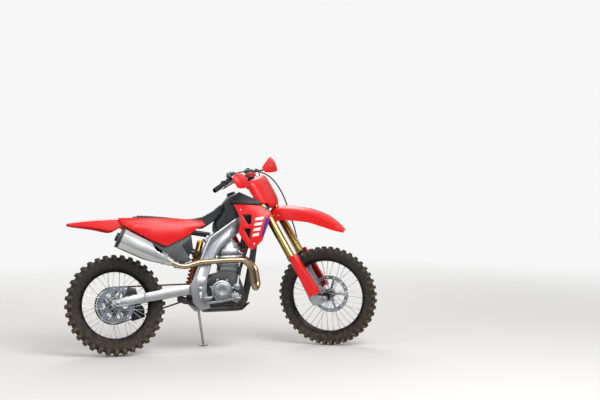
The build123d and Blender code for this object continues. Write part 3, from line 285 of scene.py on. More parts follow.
def softened(node, finish, body="chassis", width=1.4):
    """A merged copy of a CAD node with its sharp edges rounded, width in mm."""
    work = bmesh.new()
    work.from_mesh(nodes[node].data)
    bmesh.ops.remove_doubles(work, verts=work.verts, dist=same_spot)
    bmesh.ops.dissolve_limit(work, angle_limit=flat_angle, verts=work.verts, edges=work.edges)
    mesh = bpy.data.meshes.new(node)
    work.to_mesh(mesh)
    work.free()
    mesh.materials.append(finish)
    piece = link_object(node + "_finished", mesh)
    rounding = piece.modifiers.new("rounded_edges", "BEVEL")
    rounding.width = width / 1000
    rounding.segments = 2
    rounding.limit_method = "ANGLE"
    rounding.angle_limit = rounded_angle
    rounding.use_clamp_overlap = False
    settle(piece, body, [node])
    # A crowded corner can be thrown off the piece, so it is put back on the nearest CAD face.
    cad = nodes[node].data
    skin = BVHTree.FromPolygons([vertex.co for vertex in cad.vertices],
                                [face.vertices for face in cad.polygons])
    for vertex in piece.data.vertices:
        spot, _, _, away = skin.find_nearest(vertex.co)
        if away > width / 1000:
            vertex.co = spot


def dress(finish, *names):
    """Gives CAD nodes a finish."""
    for name in names:
        slots = nodes[name].data.materials
        for i in range(len(slots)):
            slots[i] = finish


# Brushed along the machine: short streaks, mid-grey with a soft, stretched highlight.
brushed_alloy = surface("brushed_aluminium", "#C4C6CA", "#A9ABAF", patch=90, grain=0.9, bump=0.25,
                        roughness=0.32, spread=0.12, metallic=1.0, stretch=(0.08, 1, 1), dust=0.35)
# Clear anodised forging: duller than a polished one, with an even satin glow.
frame_alloy = surface("anodised_frame_aluminium", "#B2B5BA", "#9A9DA4", patch=70, grain=0.8,
                      bump=0.2, roughness=0.32, spread=0.1, metallic=1.0, dust=0.25)
# Machined and grey anodised: fine, close tool marks.
clamp_alloy = surface("machined_clamp_aluminium", "#6E7278", "#585C62", patch=40, grain=0.7,
                      bump=0.15, roughness=0.36, spread=0.08, metallic=1.0)
# Black powder coat: even, slightly pebbled, soft sheen.
black_coat = surface("black_powder_coat", "#1B1C1F", "#26272B", patch=50, grain=0.9, bump=0.3,
                     roughness=0.42, spread=0.12, coat=0.15, dust=0.3)
# Zinc plate: pale, a little blotchy where it has been handled.
steel = surface("zinc_plated_steel", "#B9BBBE", "#93969A", patch=25, grain=0.6, bump=0.1,
                roughness=0.33, spread=0.12, metallic=1.0, dust=0.2)
softened("main_frame", frame_alloy, width=2.2)
softened("swingarm", brushed_alloy, width=2.5)
softened("swingarm_rails", brushed_alloy, width=2.5)
softened("cradle", black_coat, width=3)
softened("subframe", black_coat, width=1)
softened("linkage", black_coat)
softened("lower_clamp", clamp_alloy, "steering")
softened("upper_clamp", clamp_alloy, "steering")
softened("swingarm_pivot", steel, width=1)
softened("rear_axle", steel, width=1)
softened("front_axle", steel, "steering", 1)
softened("foot_levers", steel)
softened("footpegs", steel, width=0.6)
softened("side_stand", steel, "stand", 1)

# Engine.
# A single-cylinder engine: sand-textured black castings, bare cast side covers held by zinc-plated
# flange screws, and rubber coolant hoses up to the two radiators.


def turn_into(work, profile, sides, place=Matrix()):
    """Adds a shape turned about Z from (radius, height) points to a bmesh; radius 0 closes it."""
    rings = []
    for radius, height in profile:
        spots = [(radius * cos(tau * i / sides), radius * sin(tau * i / sides), height)
                 for i in range(sides if radius else 1)]
        rings.append([work.verts.new(place @ Vector(spot)) for spot in spots])
    if profile[0][0]:
        rings.append(rings[0])
    for low, high in zip(rings, rings[1:]):
        for i in range(sides):
            j = (i + 1) % sides
            corners = [low[i % len(low)], low[j % len(low)], high[j % len(high)],
                       high[i % len(high)]]
            work.faces.new(list(dict.fromkeys(corners)))


def along(start, end):
    """The place of a shape that stands on start with its Z towards end."""
    way = Vector(end) - Vector(start)
    return Matrix.Translation(Vector(start)) @ way.to_track_quat("Z", "Y").to_matrix().to_4x4()


def bar_into(work, start, end, radius, sides=12, tip=None):
    """Adds a round bar with closed ends, tapered to the tip radius."""
    long = (Vector(end) - Vector(start)).length
    tip = radius if tip is None else tip
    turn_into(work, [(0, 0), (radius, 0), (tip, long), (0, long)], sides, along(start, end))


def set_down(name, work, finish=None):
    """An object of a bmesh, with its faces turned outwards."""
    bmesh.ops.recalc_face_normals(work, faces=work.faces)
    mesh = bpy.data.meshes.new(name)
    work.to_mesh(mesh)
    work.free()
    if finish:
        mesh.materials.append(finish)
    return link_object(name, mesh)


def made(name, work, finish, place, body, slot, *replaced):
    """Makes a piece of a bmesh in millimetres."""
    settle(set_down(name, work, finish), body, replaced, place)


def new_tree(name, sockets):
    """A geometry tree with named inputs; returns it and its input node."""
    tree = bpy.data.node_groups.new(name, "GeometryNodeTree")
    for label, kind in sockets:
        tree.interface.new_socket(label, in_out="INPUT", socket_type="NodeSocket" + kind)
    tree.interface.new_socket("Geometry", in_out="OUTPUT", socket_type="NodeSocketGeometry")
    return tree, add_node(tree, "NodeGroupInput")


def end_tree(tree, given, instances):
    """Realises the instances and gives them the tree's finish."""
    real = add_node(tree, "GeometryNodeRealizeInstances", {"Geometry": instances})
    coated = add_node(tree, "GeometryNodeSetMaterial", {"Geometry": real.outputs["Geometry"],
                      "Material": given.outputs["Finish"]})
    add_node(tree, "NodeGroupOutput", {"Geometry": coated.outputs["Geometry"]})


def run_tree(piece, tree, values):
    """Puts a geometry tree on a piece and sets its inputs by their identifiers."""
    working = piece.modifiers.new(tree.name, "NODES")
    working.node_group = tree
    for socket in tree.interface.items_tree:
        if socket.in_out == "INPUT" and socket.name in values:
            working[socket.identifier] = values[socket.name]


# Copies of a piece on the carrier's points, turned by its attributes way and level and sized by
# its attribute size.
on_points, given = new_tree("pieces_on_points", [("Geometry", "Geometry"), ("Piece", "Object"),
                                                 ("Finish", "Material")])
way, level, size = (add_node(on_points, "GeometryNodeInputNamedAttribute", {"Name": label},
                             data_type=kind).outputs["Attribute"]
                    for label, kind in (("way", "FLOAT_VECTOR"), ("level", "FLOAT_VECTOR"),
                                        ("size", "FLOAT")))
stand_up = add_node(on_points, "FunctionNodeAlignRotationToVector", {"Vector": way}, axis="Z")
face_on = add_node(on_points, "FunctionNodeAlignRotationToVector",
                   {"Rotation": stand_up.outputs[0], "Vector": level}, axis="X", pivot_axis="Z")
one = add_node(on_points, "GeometryNodeObjectInfo", {"Object": given.outputs["Piece"]})
many = add_node(on_points, "GeometryNodeInstanceOnPoints",
                {"Points": given.outputs["Geometry"], "Instance": one.outputs["Geometry"],
                 "Rotation": face_on.outputs[0], "Scale": size})
end_tree(on_points, given, many.outputs["Instances"])


def put_on_points(name, one, finish, rows, place, body, slot, *replaced):
    """Copies of a piece; each row is its point, the way of its Z, the way of its X, its size."""
    carrier = bpy.data.meshes.new(name)
    carrier.from_pydata([row[0] for row in rows], [], [])
    for label, column in (("way", 1), ("level", 2)):
        ways = carrier.attributes.new(label, "FLOAT_VECTOR", "POINT")
        ways.data.foreach_set("vector", [share for row in rows for share in row[column]])
    sizes = carrier.attributes.new("size", "FLOAT", "POINT")
    sizes.data.foreach_set("value", [row[3] for row in rows])
    piece = link_object(name, carrier)
    run_tree(piece, on_points, {"Piece": one, "Finish": finish})
    settle(piece, body, replaced, place)


# A flange screw of unit radius: a wide thin flange under a low six-sided head. It is repeated by
# the tree wherever the machine is bolted, and goes at the end of the script.
work = bmesh.new()
turn_into(work, [(0, 0), (1.35, 0), (1.35, 0.18), (1.05, 0.3), (0, 0.3)], 18)
turn_into(work, [(0, 0.2), (0.95, 0.2), (0.95, 0.95), (0.8, 1.1), (0, 1.1)], 6)
screw = set_down("flange_screw", work)

# Moulded rubber: near black, with a weak broad highlight.
hose_rubber = surface("black_hose_rubber", "#131315", "#1C1C1E", patch=20, grain=1.0, bump=0.3,
                      roughness=0.5, spread=0.1)


def hose(name, radius, points, place, body, *replaced):
    """A rubber hose or sheathed cable along a smooth spline steered by its points."""
    line = bpy.data.curves.new(name, "CURVE")
    line.dimensions = "3D"
    line.bevel_depth = radius
    line.bevel_resolution = 4
    line.use_fill_caps = True
    run = line.splines.new("NURBS")
    run.points.add(len(points) - 1)
    for spot, point in zip(run.points, points):
        spot.co = (*point, 1)
    run.order_u = 3
    run.use_endpoint_u = True
    run.resolution_u = 10
    line.materials.append(hose_rubber)
    guide = link_object(name, line)
    mesh = worked(guide)
    bpy.data.objects.remove(guide)
    settle(link_object(name, mesh), body, replaced, place)


# Painted sand casting: a visible pebble and a dull black.
cast_black = surface("painted_cast_aluminium", "#18191B", "#242629", patch=30, grain=1.4, bump=0.6,
                     roughness=0.45, spread=0.15, dust=0.2)
# Bare die casting: mid grey, soft and a little mottled.
cast_alloy = surface("bare_cast_aluminium", "#A3A5A9", "#85878C", patch=30, grain=1.2, bump=0.5,
                     roughness=0.34, spread=0.12, metallic=1.0, dust=0.25)
# Bare fins and tubes: dark grey between them, drawn as a coarse grain.
core_alloy = surface("radiator_core", "#5A5C60", "#3E4044", patch=12, grain=2.0, bump=0.8,
                     roughness=0.5, spread=0.1, metallic=1.0)
softened("crankcase", cast_black, width=2)
softened("cylinder", cast_alloy, width=1)
softened("engine_covers", cast_alloy, width=1.2)
softened("radiators", core_alloy, width=0.6)

case_side = 82
# Each row of the table: x and z of a cover's middle, its side, how far it stands off the case, and
# its screws' ring radius, first and last turn and step in degrees.
covers = [(712, 402, -1, 16, 77, 10, 360, 50), (806, 356, -1, 14, 34, -80, 190, 90),
          (756, 395, 1, 15, 61, 0, 360, 60)]
cover_screw, head_screw, head_top = 4.2, 5, 744
rows = [((x + ring * cos(turn), flank * (case_side + proud), z + ring * sin(turn)),
         (0, flank, 0), (1, 0, 0), cover_screw)
        for x, z, flank, proud, ring, first, last, step in covers
        for turn in map(radians, range(first, last, step))]
rows += [((x, flank * 36, head_top), (0, 0, 1), (1, 0, 0), head_screw)
         for x in (760, 822) for flank in (1, -1)]
put_on_points("engine_screws", screw, steel, rows, bike, "chassis", "bright_steel")
# Each row of the table: name, radius and points of a hose.
for name, radius, points in [
        ("coolant_hose_right", 11, [(836, -94, 500), (840, -94, 530), (866, -94, 600),
                                    (892, -98, 664), (904, -102, 706)]),
        ("coolant_hose_left", 11, [(864, 45, 715), (878, 52, 720), (893, 74, 704), (902, 94, 692),
                                   (906, 102, 706)]),
        ("crankcase_breather", 6, [(724, -40, 520), (706, -46, 560), (686, -48, 640),
                                   (660, -46, 700), (610, -40, 760)]),
        ("spark_lead", 4.5, [(790, 0, 748), (790, 2, 790), (800, 18, 830), (830, 30, 868)])]:
    hose(name, radius, points, bike, "chassis")
work = bmesh.new()
turn_into(work, [(0, 0), (13, 0), (13, 10), (10, 14), (9, 34), (5, 38), (0, 38)], 20,
          Matrix.Translation((790, 0, head_top)))
intake, intake_mouth = (692, -10, 675.5), (745, -10, 663)
turn_into(work, [(26, 0), (26, 12), (23.5, 12), (23.5, 0)], 28, along(intake, intake_mouth))
made("plug_cap_and_clamp", work, hose_rubber, bike, "chassis", "hose_rubber")

# Exhaust.
# A bent stainless header, tinted by heat and held by two clamps, and a brushed eight-sided silencer
# with a moulded end cap and a strap round its nose.

# Stainless pipe browned by heat, with a long pale highlight.
header_metal = surface("heat_tinted_stainless", "#B8A488", "#917C62", patch=70, grain=0.8,
                       bump=0.1, roughness=0.27, spread=0.1, metallic=1.0)
# Brushed sheet: fine streaks along the silencer under a broad soft highlight.
silencer_alloy = surface("brushed_silencer_aluminium", "#D2D3D4", "#B9BABC", patch=80, grain=0.7,
                         bump=0.2, roughness=0.3, spread=0.1, metallic=1.0, stretch=(0.1, 1, 1))
# Moulded nylon: dull, with a fine even grain.
end_black = surface("black_moulded_end", "#1A1A1C", "#232326", patch=30, grain=1.0, bump=0.4,
                    roughness=0.5, spread=0.1)
dress(header_metal, "header_pipe")
softened("muffler", silencer_alloy, width=2.5)
muffler_tail, muffler_nose = Vector((20, -148, 780)), Vector((372, -148, 600))
muffler_way = (muffler_nose - muffler_tail).normalized()


def skin_into(work, loops, closed_ends=True):
    """Adds a skin over loops of as many points each, with flat ends or joined up in a ring."""
    rings = [[work.verts.new(spot) for spot in loop] for loop in loops]
    for near, far in zip(rings, rings[1:] + (rings[:1] if not closed_ends else [])):
        for i in range(len(near)):
            j = (i + 1) % len(near)
            work.faces.new((near[i], near[j], far[j], far[i]))
    if closed_ends:
        work.faces.new(rings[0])
        work.faces.new(list(reversed(rings[-1])))


def band_into(work, share, tall, wide, long):
    """Adds a strap of eight flats round the silencer at a share of its length."""
    centre = muffler_tail + (muffler_nose - muffler_tail) * share
    sideways = Vector((0, 1, 0))
    over = muffler_way.cross(sideways).normalized()
    quarter = [(wide * 0.55, tall), (wide, tall * 0.45)]
    right = quarter + [(y, -h) for y, h in reversed(quarter)]
    loop = [(-wide * 0.55, tall)] + right + [(-y, h) for y, h in reversed(right[1:])]
    skin_into(work, [[centre + muffler_way * shift + sideways * y * (1 + grow / wide)
                      + over * h * (1 + grow / tall) for y, h in loop]
                     for grow, shift in ((-1, -long / 2), (band_proud, -long / 2),
                                         (band_proud, long / 2), (-1, long / 2))],
              closed_ends=False)


band_proud = 2.0
work = bmesh.new()
band_into(work, 0.035, 62, 49, 26)
turn_into(work, [(27.5, 0), (30, 1), (30, 17), (27.5, 18)], 40,
          along(muffler_tail - muffler_way * 17, muffler_nose))
made("silencer_end", work, end_black, bike, "chassis", "black_plastic")
work = bmesh.new()
band_into(work, 0.86, 36, 33.4, 14)
made("silencer_band", work, steel, bike, "chassis", "bright_steel")
work = bmesh.new()
# Each row of the table: where a clamp stands round the pipe, and a point ahead along the pipe.
for start, ahead in (((868, -27.8, 633), (904, -37.8, 611)), ((409, -148, 581), (365, -148, 604))):
    turn_into(work, [(19.6, 0), (24, 0), (25, 3), (25, 13), (24, 16), (19.6, 16)], 36,
              along(start, ahead))
made("pipe_clamps", work, steel, bike, "chassis", "bright_steel")

# Bodywork.
# Injection-moulded polypropylene about 3.5 mm thick, red with a soft gloss, and black and grey with
# a moulded grain. The shrouds and panels are bolted on, and the front fender under its clamp.

moulding_wall, fold_sharpness = 3.5, 0.7


def rounded_out(piece):
    """Gives a piece a smooth surface in place of its coarse one."""
    smooth = piece.modifiers.new("smooth", "SUBSURF")
    smooth.levels = smooth.render_levels = 2


def moulded(name, sheets, wall, finish, place, body, slot, *replaced, crease=()):
    """A moulded skin over rows of points; each sheet is its rows and the way it faces, and crease
    gives the columns that fold along the sheet."""
    points, faces, folds = [], [], set()
    for rows, outward in sheets:
        start, wide = len(points), len(rows[0])
        points += [Vector(point) for row in rows for point in row]
        patch = [(start + i * wide + j, start + i * wide + j + 1, start + (i + 1) * wide + j + 1,
                  start + (i + 1) * wide + j)
                 for i in range(len(rows) - 1) for j in range(wide - 1)]
        facing = sum(((points[d] - points[b]).cross(points[c] - points[a]).dot(Vector(outward))
                      for a, b, c, d in patch))
        faces += patch if facing > 0 else [tuple(reversed(face)) for face in patch]
        folds |= {(start + i * wide + j, start + (i + 1) * wide + j)
                  for i in range(len(rows) - 1) for j in crease}
    mesh = bpy.data.meshes.new(name)
    mesh.from_pydata(points, [], faces)
    mesh.materials.append(finish)
    edges = mesh.attributes.new("crease_edge", "FLOAT", "EDGE")
    for edge in mesh.edges:
        if tuple(sorted(edge.vertices)) in folds:
            edges.data[edge.index].value = fold_sharpness
    piece = link_object(name, mesh)
    thick = piece.modifiers.new("wall", "SOLIDIFY")
    thick.thickness = wall
    thick.offset = -1
    thick.use_even_offset = True
    rounded_out(piece)
    settle(piece, body, replaced, place)


def mirrored(half):
    """A row of points from the left edge over the middle to the right one."""
    return [(x, -y, z) for x, y, z in reversed(half)] + list(half)


# Moulded red: even and saturated, with a soft wide highlight.
red_plastic = surface("red_polypropylene", "#E8060D", "#DB050B", patch=160, grain=0.5, bump=0.04,
                      roughness=0.34, spread=0.06, coat=0.05)
# The black and the grey are moulded with a fine grain that breaks the highlight up.
black_plastic = surface("black_polypropylene", "#15171C", "#1D2026", patch=60, grain=1.0,
                        bump=0.35, roughness=0.45, spread=0.1)
grey_plastic = surface("grey_polypropylene", "#55575B", "#494B4F", patch=60, grain=1.0, bump=0.35,
                       roughness=0.5, spread=0.1)
# Printed film under a clear gloss.
white_film = surface("white_printed_film", "#F1F1EF", "#E6E6E4", patch=80, grain=0.6, bump=0.02,
                     roughness=0.3, spread=0.05, coat=0.3)
blue_film = surface("blue_printed_film", "#17249A", "#131E84", patch=80, grain=0.6, bump=0.02,
                    roughness=0.3, spread=0.05, coat=0.3)
for name, finish, slot, width in [("shrouds", red_plastic, "red_plastic", 1.6),
                                  ("side_panels", red_plastic, "red_plastic", 1.6),
                                  ("tank_covers", black_plastic, "black_plastic", 1.4),
                                  ("fuel_tank", black_plastic, "black_plastic", 8),
                                  ("airbox", black_plastic, "black_plastic", 4),
                                  ("chain_guide", black_plastic, "black_plastic", 1),
                                  ("airbox_covers", grey_plastic, "grey_plastic", 1.2)]:
    softened(name, finish, width=width)
dress(black_plastic, "skid_plate")

# Each row of the table: x, then crown, shoulder and edge as y, z of the rear fender.
rear_rows = [(-304, (20, 892), (35, 887), (39, 879)), (-262, (27, 898), (49, 891), (54, 872)),
             (-190, (38, 906), (64, 897), (70, 862)), (-125, (44, 910), (72, 900), (78, 852)),
             (-66, (47, 912), (75, 902), (81, 836)), (-11, (48, 913), (76, 902), (83, 822)),
             (24, (49, 913), (76, 904), (83, 840)), (60, (50, 913), (76, 905), (83, 860)),
             (106, (50, 912), (76, 905), (83, 883))]
rows = [mirrored([(x, *spot) for spot in spots]) for x, *spots in rear_rows]
moulded("rear_fender_skin", [(rows, (0, 0, 1))], moulding_wall, red_plastic, bike, "chassis",
        "red_plastic", "rear_fender", crease=(1, 4))
# The same for the front fender, with the bars straight ahead.
front_rows = [(1108, (38, 951), (58, 941), (66, 882)), (1135, (46, 968), (66, 958), (76, 855)),
              (1177, (48, 974), (68, 962), (77, 890)), (1230, (49, 973), (73, 958), (84, 890)),
              (1281, (50, 968), (76, 951), (88, 886)), (1356, (48, 958), (74, 940), (84, 880)),
              (1410, (45, 945), (70, 928), (80, 868)), (1457, (42, 929), (64, 912), (74, 848)),
              (1500, (38, 911), (59, 893), (68, 834)), (1540, (33, 886), (53, 869), (61, 817)),
              (1575, (28, 857), (46, 843), (53, 806)), (1603, (22, 829), (38, 818), (43, 799)),
              (1621, (15, 805), (27, 799), (31, 791))]
wheelbase, front_radius = 1477, 346
fork_foot = Vector((wheelbase - axle_lead * cos(rake), 0, front_radius - axle_lead * sin(rake)))


def on_fork(x, y, z):
    """A point of the upright machine with straight bars, in the fork's own frame."""
    gap = Vector((x, y, z)) - fork_foot
    return (gap.x * cos(rake) + gap.z * sin(rake), y, gap.z * cos(rake) - gap.x * sin(rake))


rows = [mirrored([on_fork(x, *spot) for spot in spots]) for x, *spots in front_rows]
moulded("front_fender_skin", [(rows, (0.4, 0, 1))], moulding_wall, red_plastic, fork, "steering",
        "red_plastic", "front_fender", crease=(1, 4))

# Each row of the table: height, then the outer x, y from the middle to the side edge.
plate_rows = [(718, (58, 22), (55, 45), (51, 60), (47, 70), (44, 76)),
              (740, (69, 25), (66, 62), (61, 86), (57, 99), (54, 107)),
              (757, (70, 25), (66, 62), (61, 86), (57, 100), (54, 108)),
              (771, (72, 25), (68, 70), (59, 108), (50, 129), (44, 138)),
              (785, (74, 25), (70, 75), (55, 122), (27, 150), (9, 151)),
              (845, (76, 25), (71, 75), (57, 120), (27, 151), (-2, 151)),
              (905, (76, 25), (70, 75), (58, 118), (26, 151), (-9, 151)),
              (936, (66, 24), (63, 70), (58, 115), (31, 150), (6, 151)),
              (953, (34, 22), (32, 62), (28, 96), (18, 124), (8, 133))]
rows = [mirrored([(x, y, height) for x, y in spots]) for height, *spots in plate_rows]
moulded("number_plate_skin", [(rows, (1, 0, 0))], moulding_wall, red_plastic, fork, "steering",
        "red_plastic", "number_plate")

# Each row of the table: distance out, then the outer x, z from the top down.
guard_rows = [(201, (27, 989), (33, 981), (35, 974), (30, 958)),
              (230, (40, 1004), (49, 988), (50, 972), (43, 942)),
              (262, (51, 1014), (62, 992), (65, 970), (54, 931)),
              (300, (58, 1024), (71, 1000), (75, 973), (62, 923)),
              (338, (63, 1032), (76, 1006), (81, 977), (66, 919)),
              (370, (60, 1035), (74, 1010), (79, 982), (64, 922)),
              (396, (55, 1039), (68, 1012), (73, 985), (60, 926)),
              (417, (42, 1034), (54, 1010), (57, 984), (47, 934)),
              (428, (26, 1019), (32, 1004), (34, 986), (29, 950))]
sheets = [([[(x, flank * out, z) for x, z in spots] for out, *spots in guard_rows], (1, 0, 0))
          for flank in (1, -1)]
moulded("handguard_shells", sheets, moulding_wall, red_plastic, fork, "steering", "red_plastic")

# The generic stripes on the shrouds are thin printed film over the moulding's own curve.
# Each row of the table: x, then y at each height of shroud_heights.
shroud_heights = (650, 784, 876, 930, 1000)
shroud_skin = [(800, (122, 126, 126, 122, 114)), (908, (148, 156, 158, 150, 140)),
               (1000, (160, 170, 172, 164, 152)), (1080, (160, 170, 172, 164, 154))]


def between(value, stops):
    """Where a value lies in a rising row of stops: the gap's index and the share of it."""
    i = max(j for j in range(len(stops) - 1) if value >= stops[j] or j == 0)
    return i, (value - stops[i]) / (stops[i + 1] - stops[i])


def shroud_out(x, z):
    """The shroud's outer y at a place on its side."""
    i, share = between(x, [row[0] for row in shroud_skin])
    j, rise = between(z, shroud_heights)
    low, high = shroud_skin[i][1], shroud_skin[i + 1][1]
    return ((low[j] * (1 - rise) + low[j + 1] * rise) * (1 - share)
            + (high[j] * (1 - rise) + high[j + 1] * rise) * share)


film_wall, film_out = 0.5, 0.9
quarters = [i / 4 for i in range(5)]


def film(name, quads, finish):
    """Strips of film on both shrouds; each quad is its four x, z corners in order."""
    sheets = []
    for flank in (1, -1):
        for a, b, c, d in quads:
            rows = []
            for down in quarters:
                near, far = Vector(a).lerp(Vector(d), down), Vector(b).lerp(Vector(c), down)
                rows.append([(x, flank * (shroud_out(x, z) + film_out), z)
                             for x, z in (near.lerp(far, along_row) for along_row in quarters)])
            sheets.append((rows, (0, flank, 0)))
    moulded(name, sheets, film_wall, finish, bike, "chassis", "red_plastic")


film("shroud_blue_bands", [((1024, 881), (1055, 882), (1003, 760), (984, 742))], blue_film)
film("shroud_white_stripes", [((956 - 7 * i, 883 - 36 * i), (1013 - 12 * i, 890 - 36 * i),
                               (1006 - 12 * i, 868 - 36 * i), (946 - 7 * i, 864 - 36 * i))
                              for i in range(4)], white_film)
# Each row of the table: x, y, z and head radius of the bolts that hold the bodywork.
rows = [((x, flank * y, z), (0, flank, 0), (1, 0, 0), head) for flank in (1, -1)
        for x, y, z, head in [(938, 157, 704, 6), (1040, shroud_out(1040, 905), 905, 5),
                              (860, shroud_out(860, 940), 940, 5), (150, 106, 866, 5),
                              (430, 114, 832, 5), (560, 98, 862, 5)]]
put_on_points("bodywork_bolts", screw, steel, rows, bike, "chassis", "bright_steel")
rows = [((x, flank * y, z), (0.2, flank, 0.35), (1, 0, 0), 5)
        for x, y, z in [on_fork(1140, 72, 925), on_fork(1180, 74, 925)] for flank in (1, -1)]
put_on_points("fender_bolts", screw, steel, rows, fork, "steering", "bright_steel")

# Seat.
# Polyurethane foam under a vinyl-coated cover that is stapled to a plastic pan, with gripping ribs
# moulded across its top.

# Coated cloth: a dull, slightly open grain.
seat_cloth = surface("seat_vinyl", "#191A1D", "#232529", patch=30, grain=1.6, bump=0.6,
                     roughness=0.62, spread=0.1)
# The gripper's ribs are paler and rougher than the cover.
rib_cloth = surface("ribbed_gripper_vinyl", "#26282D", "#303238", patch=30, grain=0.9, bump=0.8,
                    roughness=0.7, spread=0.1)
# Each row of the table: x, then the left half's y, z from the top to the pan.
seat_rows = [(116, (22, 919), (46, 915), (63, 903), (67, 894)),
             (180, (31, 931), (60, 927), (77, 906), (79, 882)),
             (265, (31, 924), (60, 920), (78, 898), (80, 872)),
             (350, (31, 915), (60, 911), (77, 890), (81, 862)),
             (425, (29, 905), (57, 901), (73, 881), (76, 853)),
             (500, (27, 896), (52, 892), (67, 873), (71, 845)),
             (560, (25, 899), (48, 895), (62, 876), (65, 839)),
             (620, (23, 909), (44, 905), (56, 883), (59, 835)),
             (700, (21, 951), (38, 946), (50, 928), (53, 884)),
             (755, (19, 1000), (34, 995), (44, 978), (47, 958))]
seat_stops = [row[0] for row in seat_rows]


def seat_line(x, spot):
    """The seat's y and z at one of the four places across its left half, 1 to 4."""
    i, share = between(x, seat_stops)
    return Vector(seat_rows[i][spot]).lerp(Vector(seat_rows[i + 1][spot]), share)


# The least fold of an edge that is rounded, in radians, its rounding in millimetres, and the size
# of the cover's even mesh in metres.
sharp_edge, edge_round, cover_voxel = 0.5, 6, 0.006
work = bmesh.new()
skin_into(work, [[(x, -y, z) for y, z in reversed(half)] + [(x, y, z) for y, z in half]
                 for x, *half in seat_rows])
bmesh.ops.recalc_face_normals(work, faces=work.faces)
bmesh.ops.bevel(work, geom=[edge for edge in work.edges if edge.calc_face_angle(0) > sharp_edge],
                offset=edge_round, segments=2, affect="EDGES", clamp_overlap=True)
seat = set_down("seat_cover", work, seat_cloth)
seat.data.transform(Matrix.Scale(0.001, 4))
even = seat.modifiers.new("even", "REMESH")
even.mode = "VOXEL"
even.voxel_size = cover_voxel
seat.data = worked(seat)
seat.modifiers.clear()
# The cloth is blown up over its foam, while the band that is stapled to the pan is held: how far it
# may rise, in metres, and how tall the band is, in millimetres.
fill_cap, stapled_band = 0.004, 9
plain_spots = [vertex.co.copy() for vertex in seat.data.vertices]
held = seat.vertex_groups.new(name="pan")
for i, spot in enumerate(plain_spots):
    pan = seat_line(spot.x * 1000, 4).y
    held.add([i], 1.0 if spot.z * 1000 < pan + stapled_band else 0.0, "REPLACE")
cloth = seat.modifiers.new("cloth", "CLOTH")
cloth.settings.vertex_group_mass = "pan"
cloth.settings.use_pressure = True
cloth.settings.uniform_pressure_force = 3
cloth.settings.effector_weights.gravity = 0
cloth.settings.quality = 4
for step in range(1, 21):
    scene.frame_set(step)
graph = bpy.context.evaluated_depsgraph_get()
swollen = seat.evaluated_get(graph).data
for vertex, plain, full in zip(seat.data.vertices, plain_spots, swollen.vertices):
    shift = full.co - plain
    vertex.co = plain + shift * min(1.0, fill_cap / max(shift.length, 1e-9))
seat.modifiers.clear()
scene.frame_set(1)
eased = seat.modifiers.new("smooth", "SMOOTH")
eased.factor = 0.5
eased.iterations = 4
settle(seat, "chassis", ["seat"], bike @ Matrix.Scale(1000, 4))

rib_gap, slope_reach = 24, 10
# Each row of the table: how far a rib's edge lies from its middle, and its height there.
rib_section = [(-5, -1.5), (-2.5, 1.6), (2.5, 1.6), (5, -1.5)]
ribs = []
for x in range(150, 690, rib_gap):
    flat, edge = seat_line(x, 1), seat_line(x, 2)
    tilt = (seat_line(x + slope_reach, 1).y - seat_line(x - slope_reach, 1).y) / (2 * slope_reach)
    half = [(edge.x + 1, edge.y - 0.5), (flat.x + 4, flat.y + 1.8), (flat.x * 0.5, flat.y + 3)]
    line = [(-y, z) for y, z in half] + [(y, z) for y, z in reversed(half)]
    ribs.append(([[(x + away, y, z + away * tilt + lift) for y, z in line]
                  for away, lift in rib_section], (0, 0, 1)))
moulded("seat_ribs", ribs, 1.5, rib_cloth, bike, "chassis", "seat_cover")

# Fork.
# An upside-down fork: gold anodised outer tubes in the clamps, steel sliders in cast feet with
# pinch bolts, and moulded guards over the sliders.

# Clear gold anodising: a deep warm metal with a pale highlight along each tube.
gold_tube = surface("gold_anodised_fork_tube", "#B8A36A", "#A18D58", patch=120, grain=0.4,
                    bump=0.05, roughness=0.26, spread=0.05, metallic=1.0)
# Machined and clear anodised: pale, with fine tool marks.
silver_lower = surface("silver_fork_lower", "#B4B7BB", "#9EA1A6", patch=60, grain=0.5, bump=0.1,
                       roughness=0.34, spread=0.08, metallic=1.0, dust=0.3)
softened("fork_tubes", gold_tube, "steering", 1)
softened("fork_lowers", silver_lower, "steering", 2)
softened("fork_guards", red_plastic, "steering", 1)
# The legs' place ahead of the steering axis and beside it, and the heights of the seals' seats, of
# the two clamps' undersides and of the upper one's top.
leg_ahead, leg_side = 12, 108
seal_seat, clamp_feet, clamp_top = 336, (722, 908), 940
work = bmesh.new()
for flank in (1, -1):
    turn_into(work, [(23.4, 0), (28, 0), (29.5, 4), (29.5, 12), (27, 14), (23.4, 14)], 40,
              Matrix.Translation((leg_ahead, flank * leg_side, seal_seat)))
made("fork_seals", work, hose_rubber, fork, "steering", "hose_rubber")
rows = []
for flank in (1, -1):
    # Pinch bolts of the foot, bleed screws of the cap, and pinch bolts of both clamps.
    rows += [((-14.5, flank * 104, z), (-1, 0, 0), (0, 1, 0), 4.4) for z in (22, 48)]
    rows += [((leg_ahead + 18 * cos(turn), flank * leg_side + 18 * sin(turn), clamp_top),
              (0, 0, 1), (1, 0, 0), 3) for turn in (0.5, 3.6)]
    rows += [((-19.5, flank * 120, foot + rise), (-1, 0, 0), (0, 1, 0), 4.6)
             for foot in clamp_feet for rise in (8, 24)]
put_on_points("fork_screws", screw, steel, rows, fork, "steering", "bright_steel")
work = bmesh.new()
for flank in (1, -1):
    turn_into(work, [(0, 0), (25, 0), (25, 7), (19, 8), (19, 5), (9, 5), (9, 10), (0, 10)], 32,
              Matrix.Translation((leg_ahead, flank * leg_side, clamp_top - 2)))
turn_into(work, [(0, 0), (19, 0), (19, 6), (15, 12), (0, 12)], 6,
          Matrix.Translation((0, 0, clamp_top)))
made("fork_caps", work, clamp_alloy, fork, "steering", "clamp_alloy")

# Bars, controls and hand guards.
# A tapered aluminium bar, anodised black, with moulded rubber grips, forged levers and their
# perches, a brake master cylinder with its hose, and a padded bar clamp.

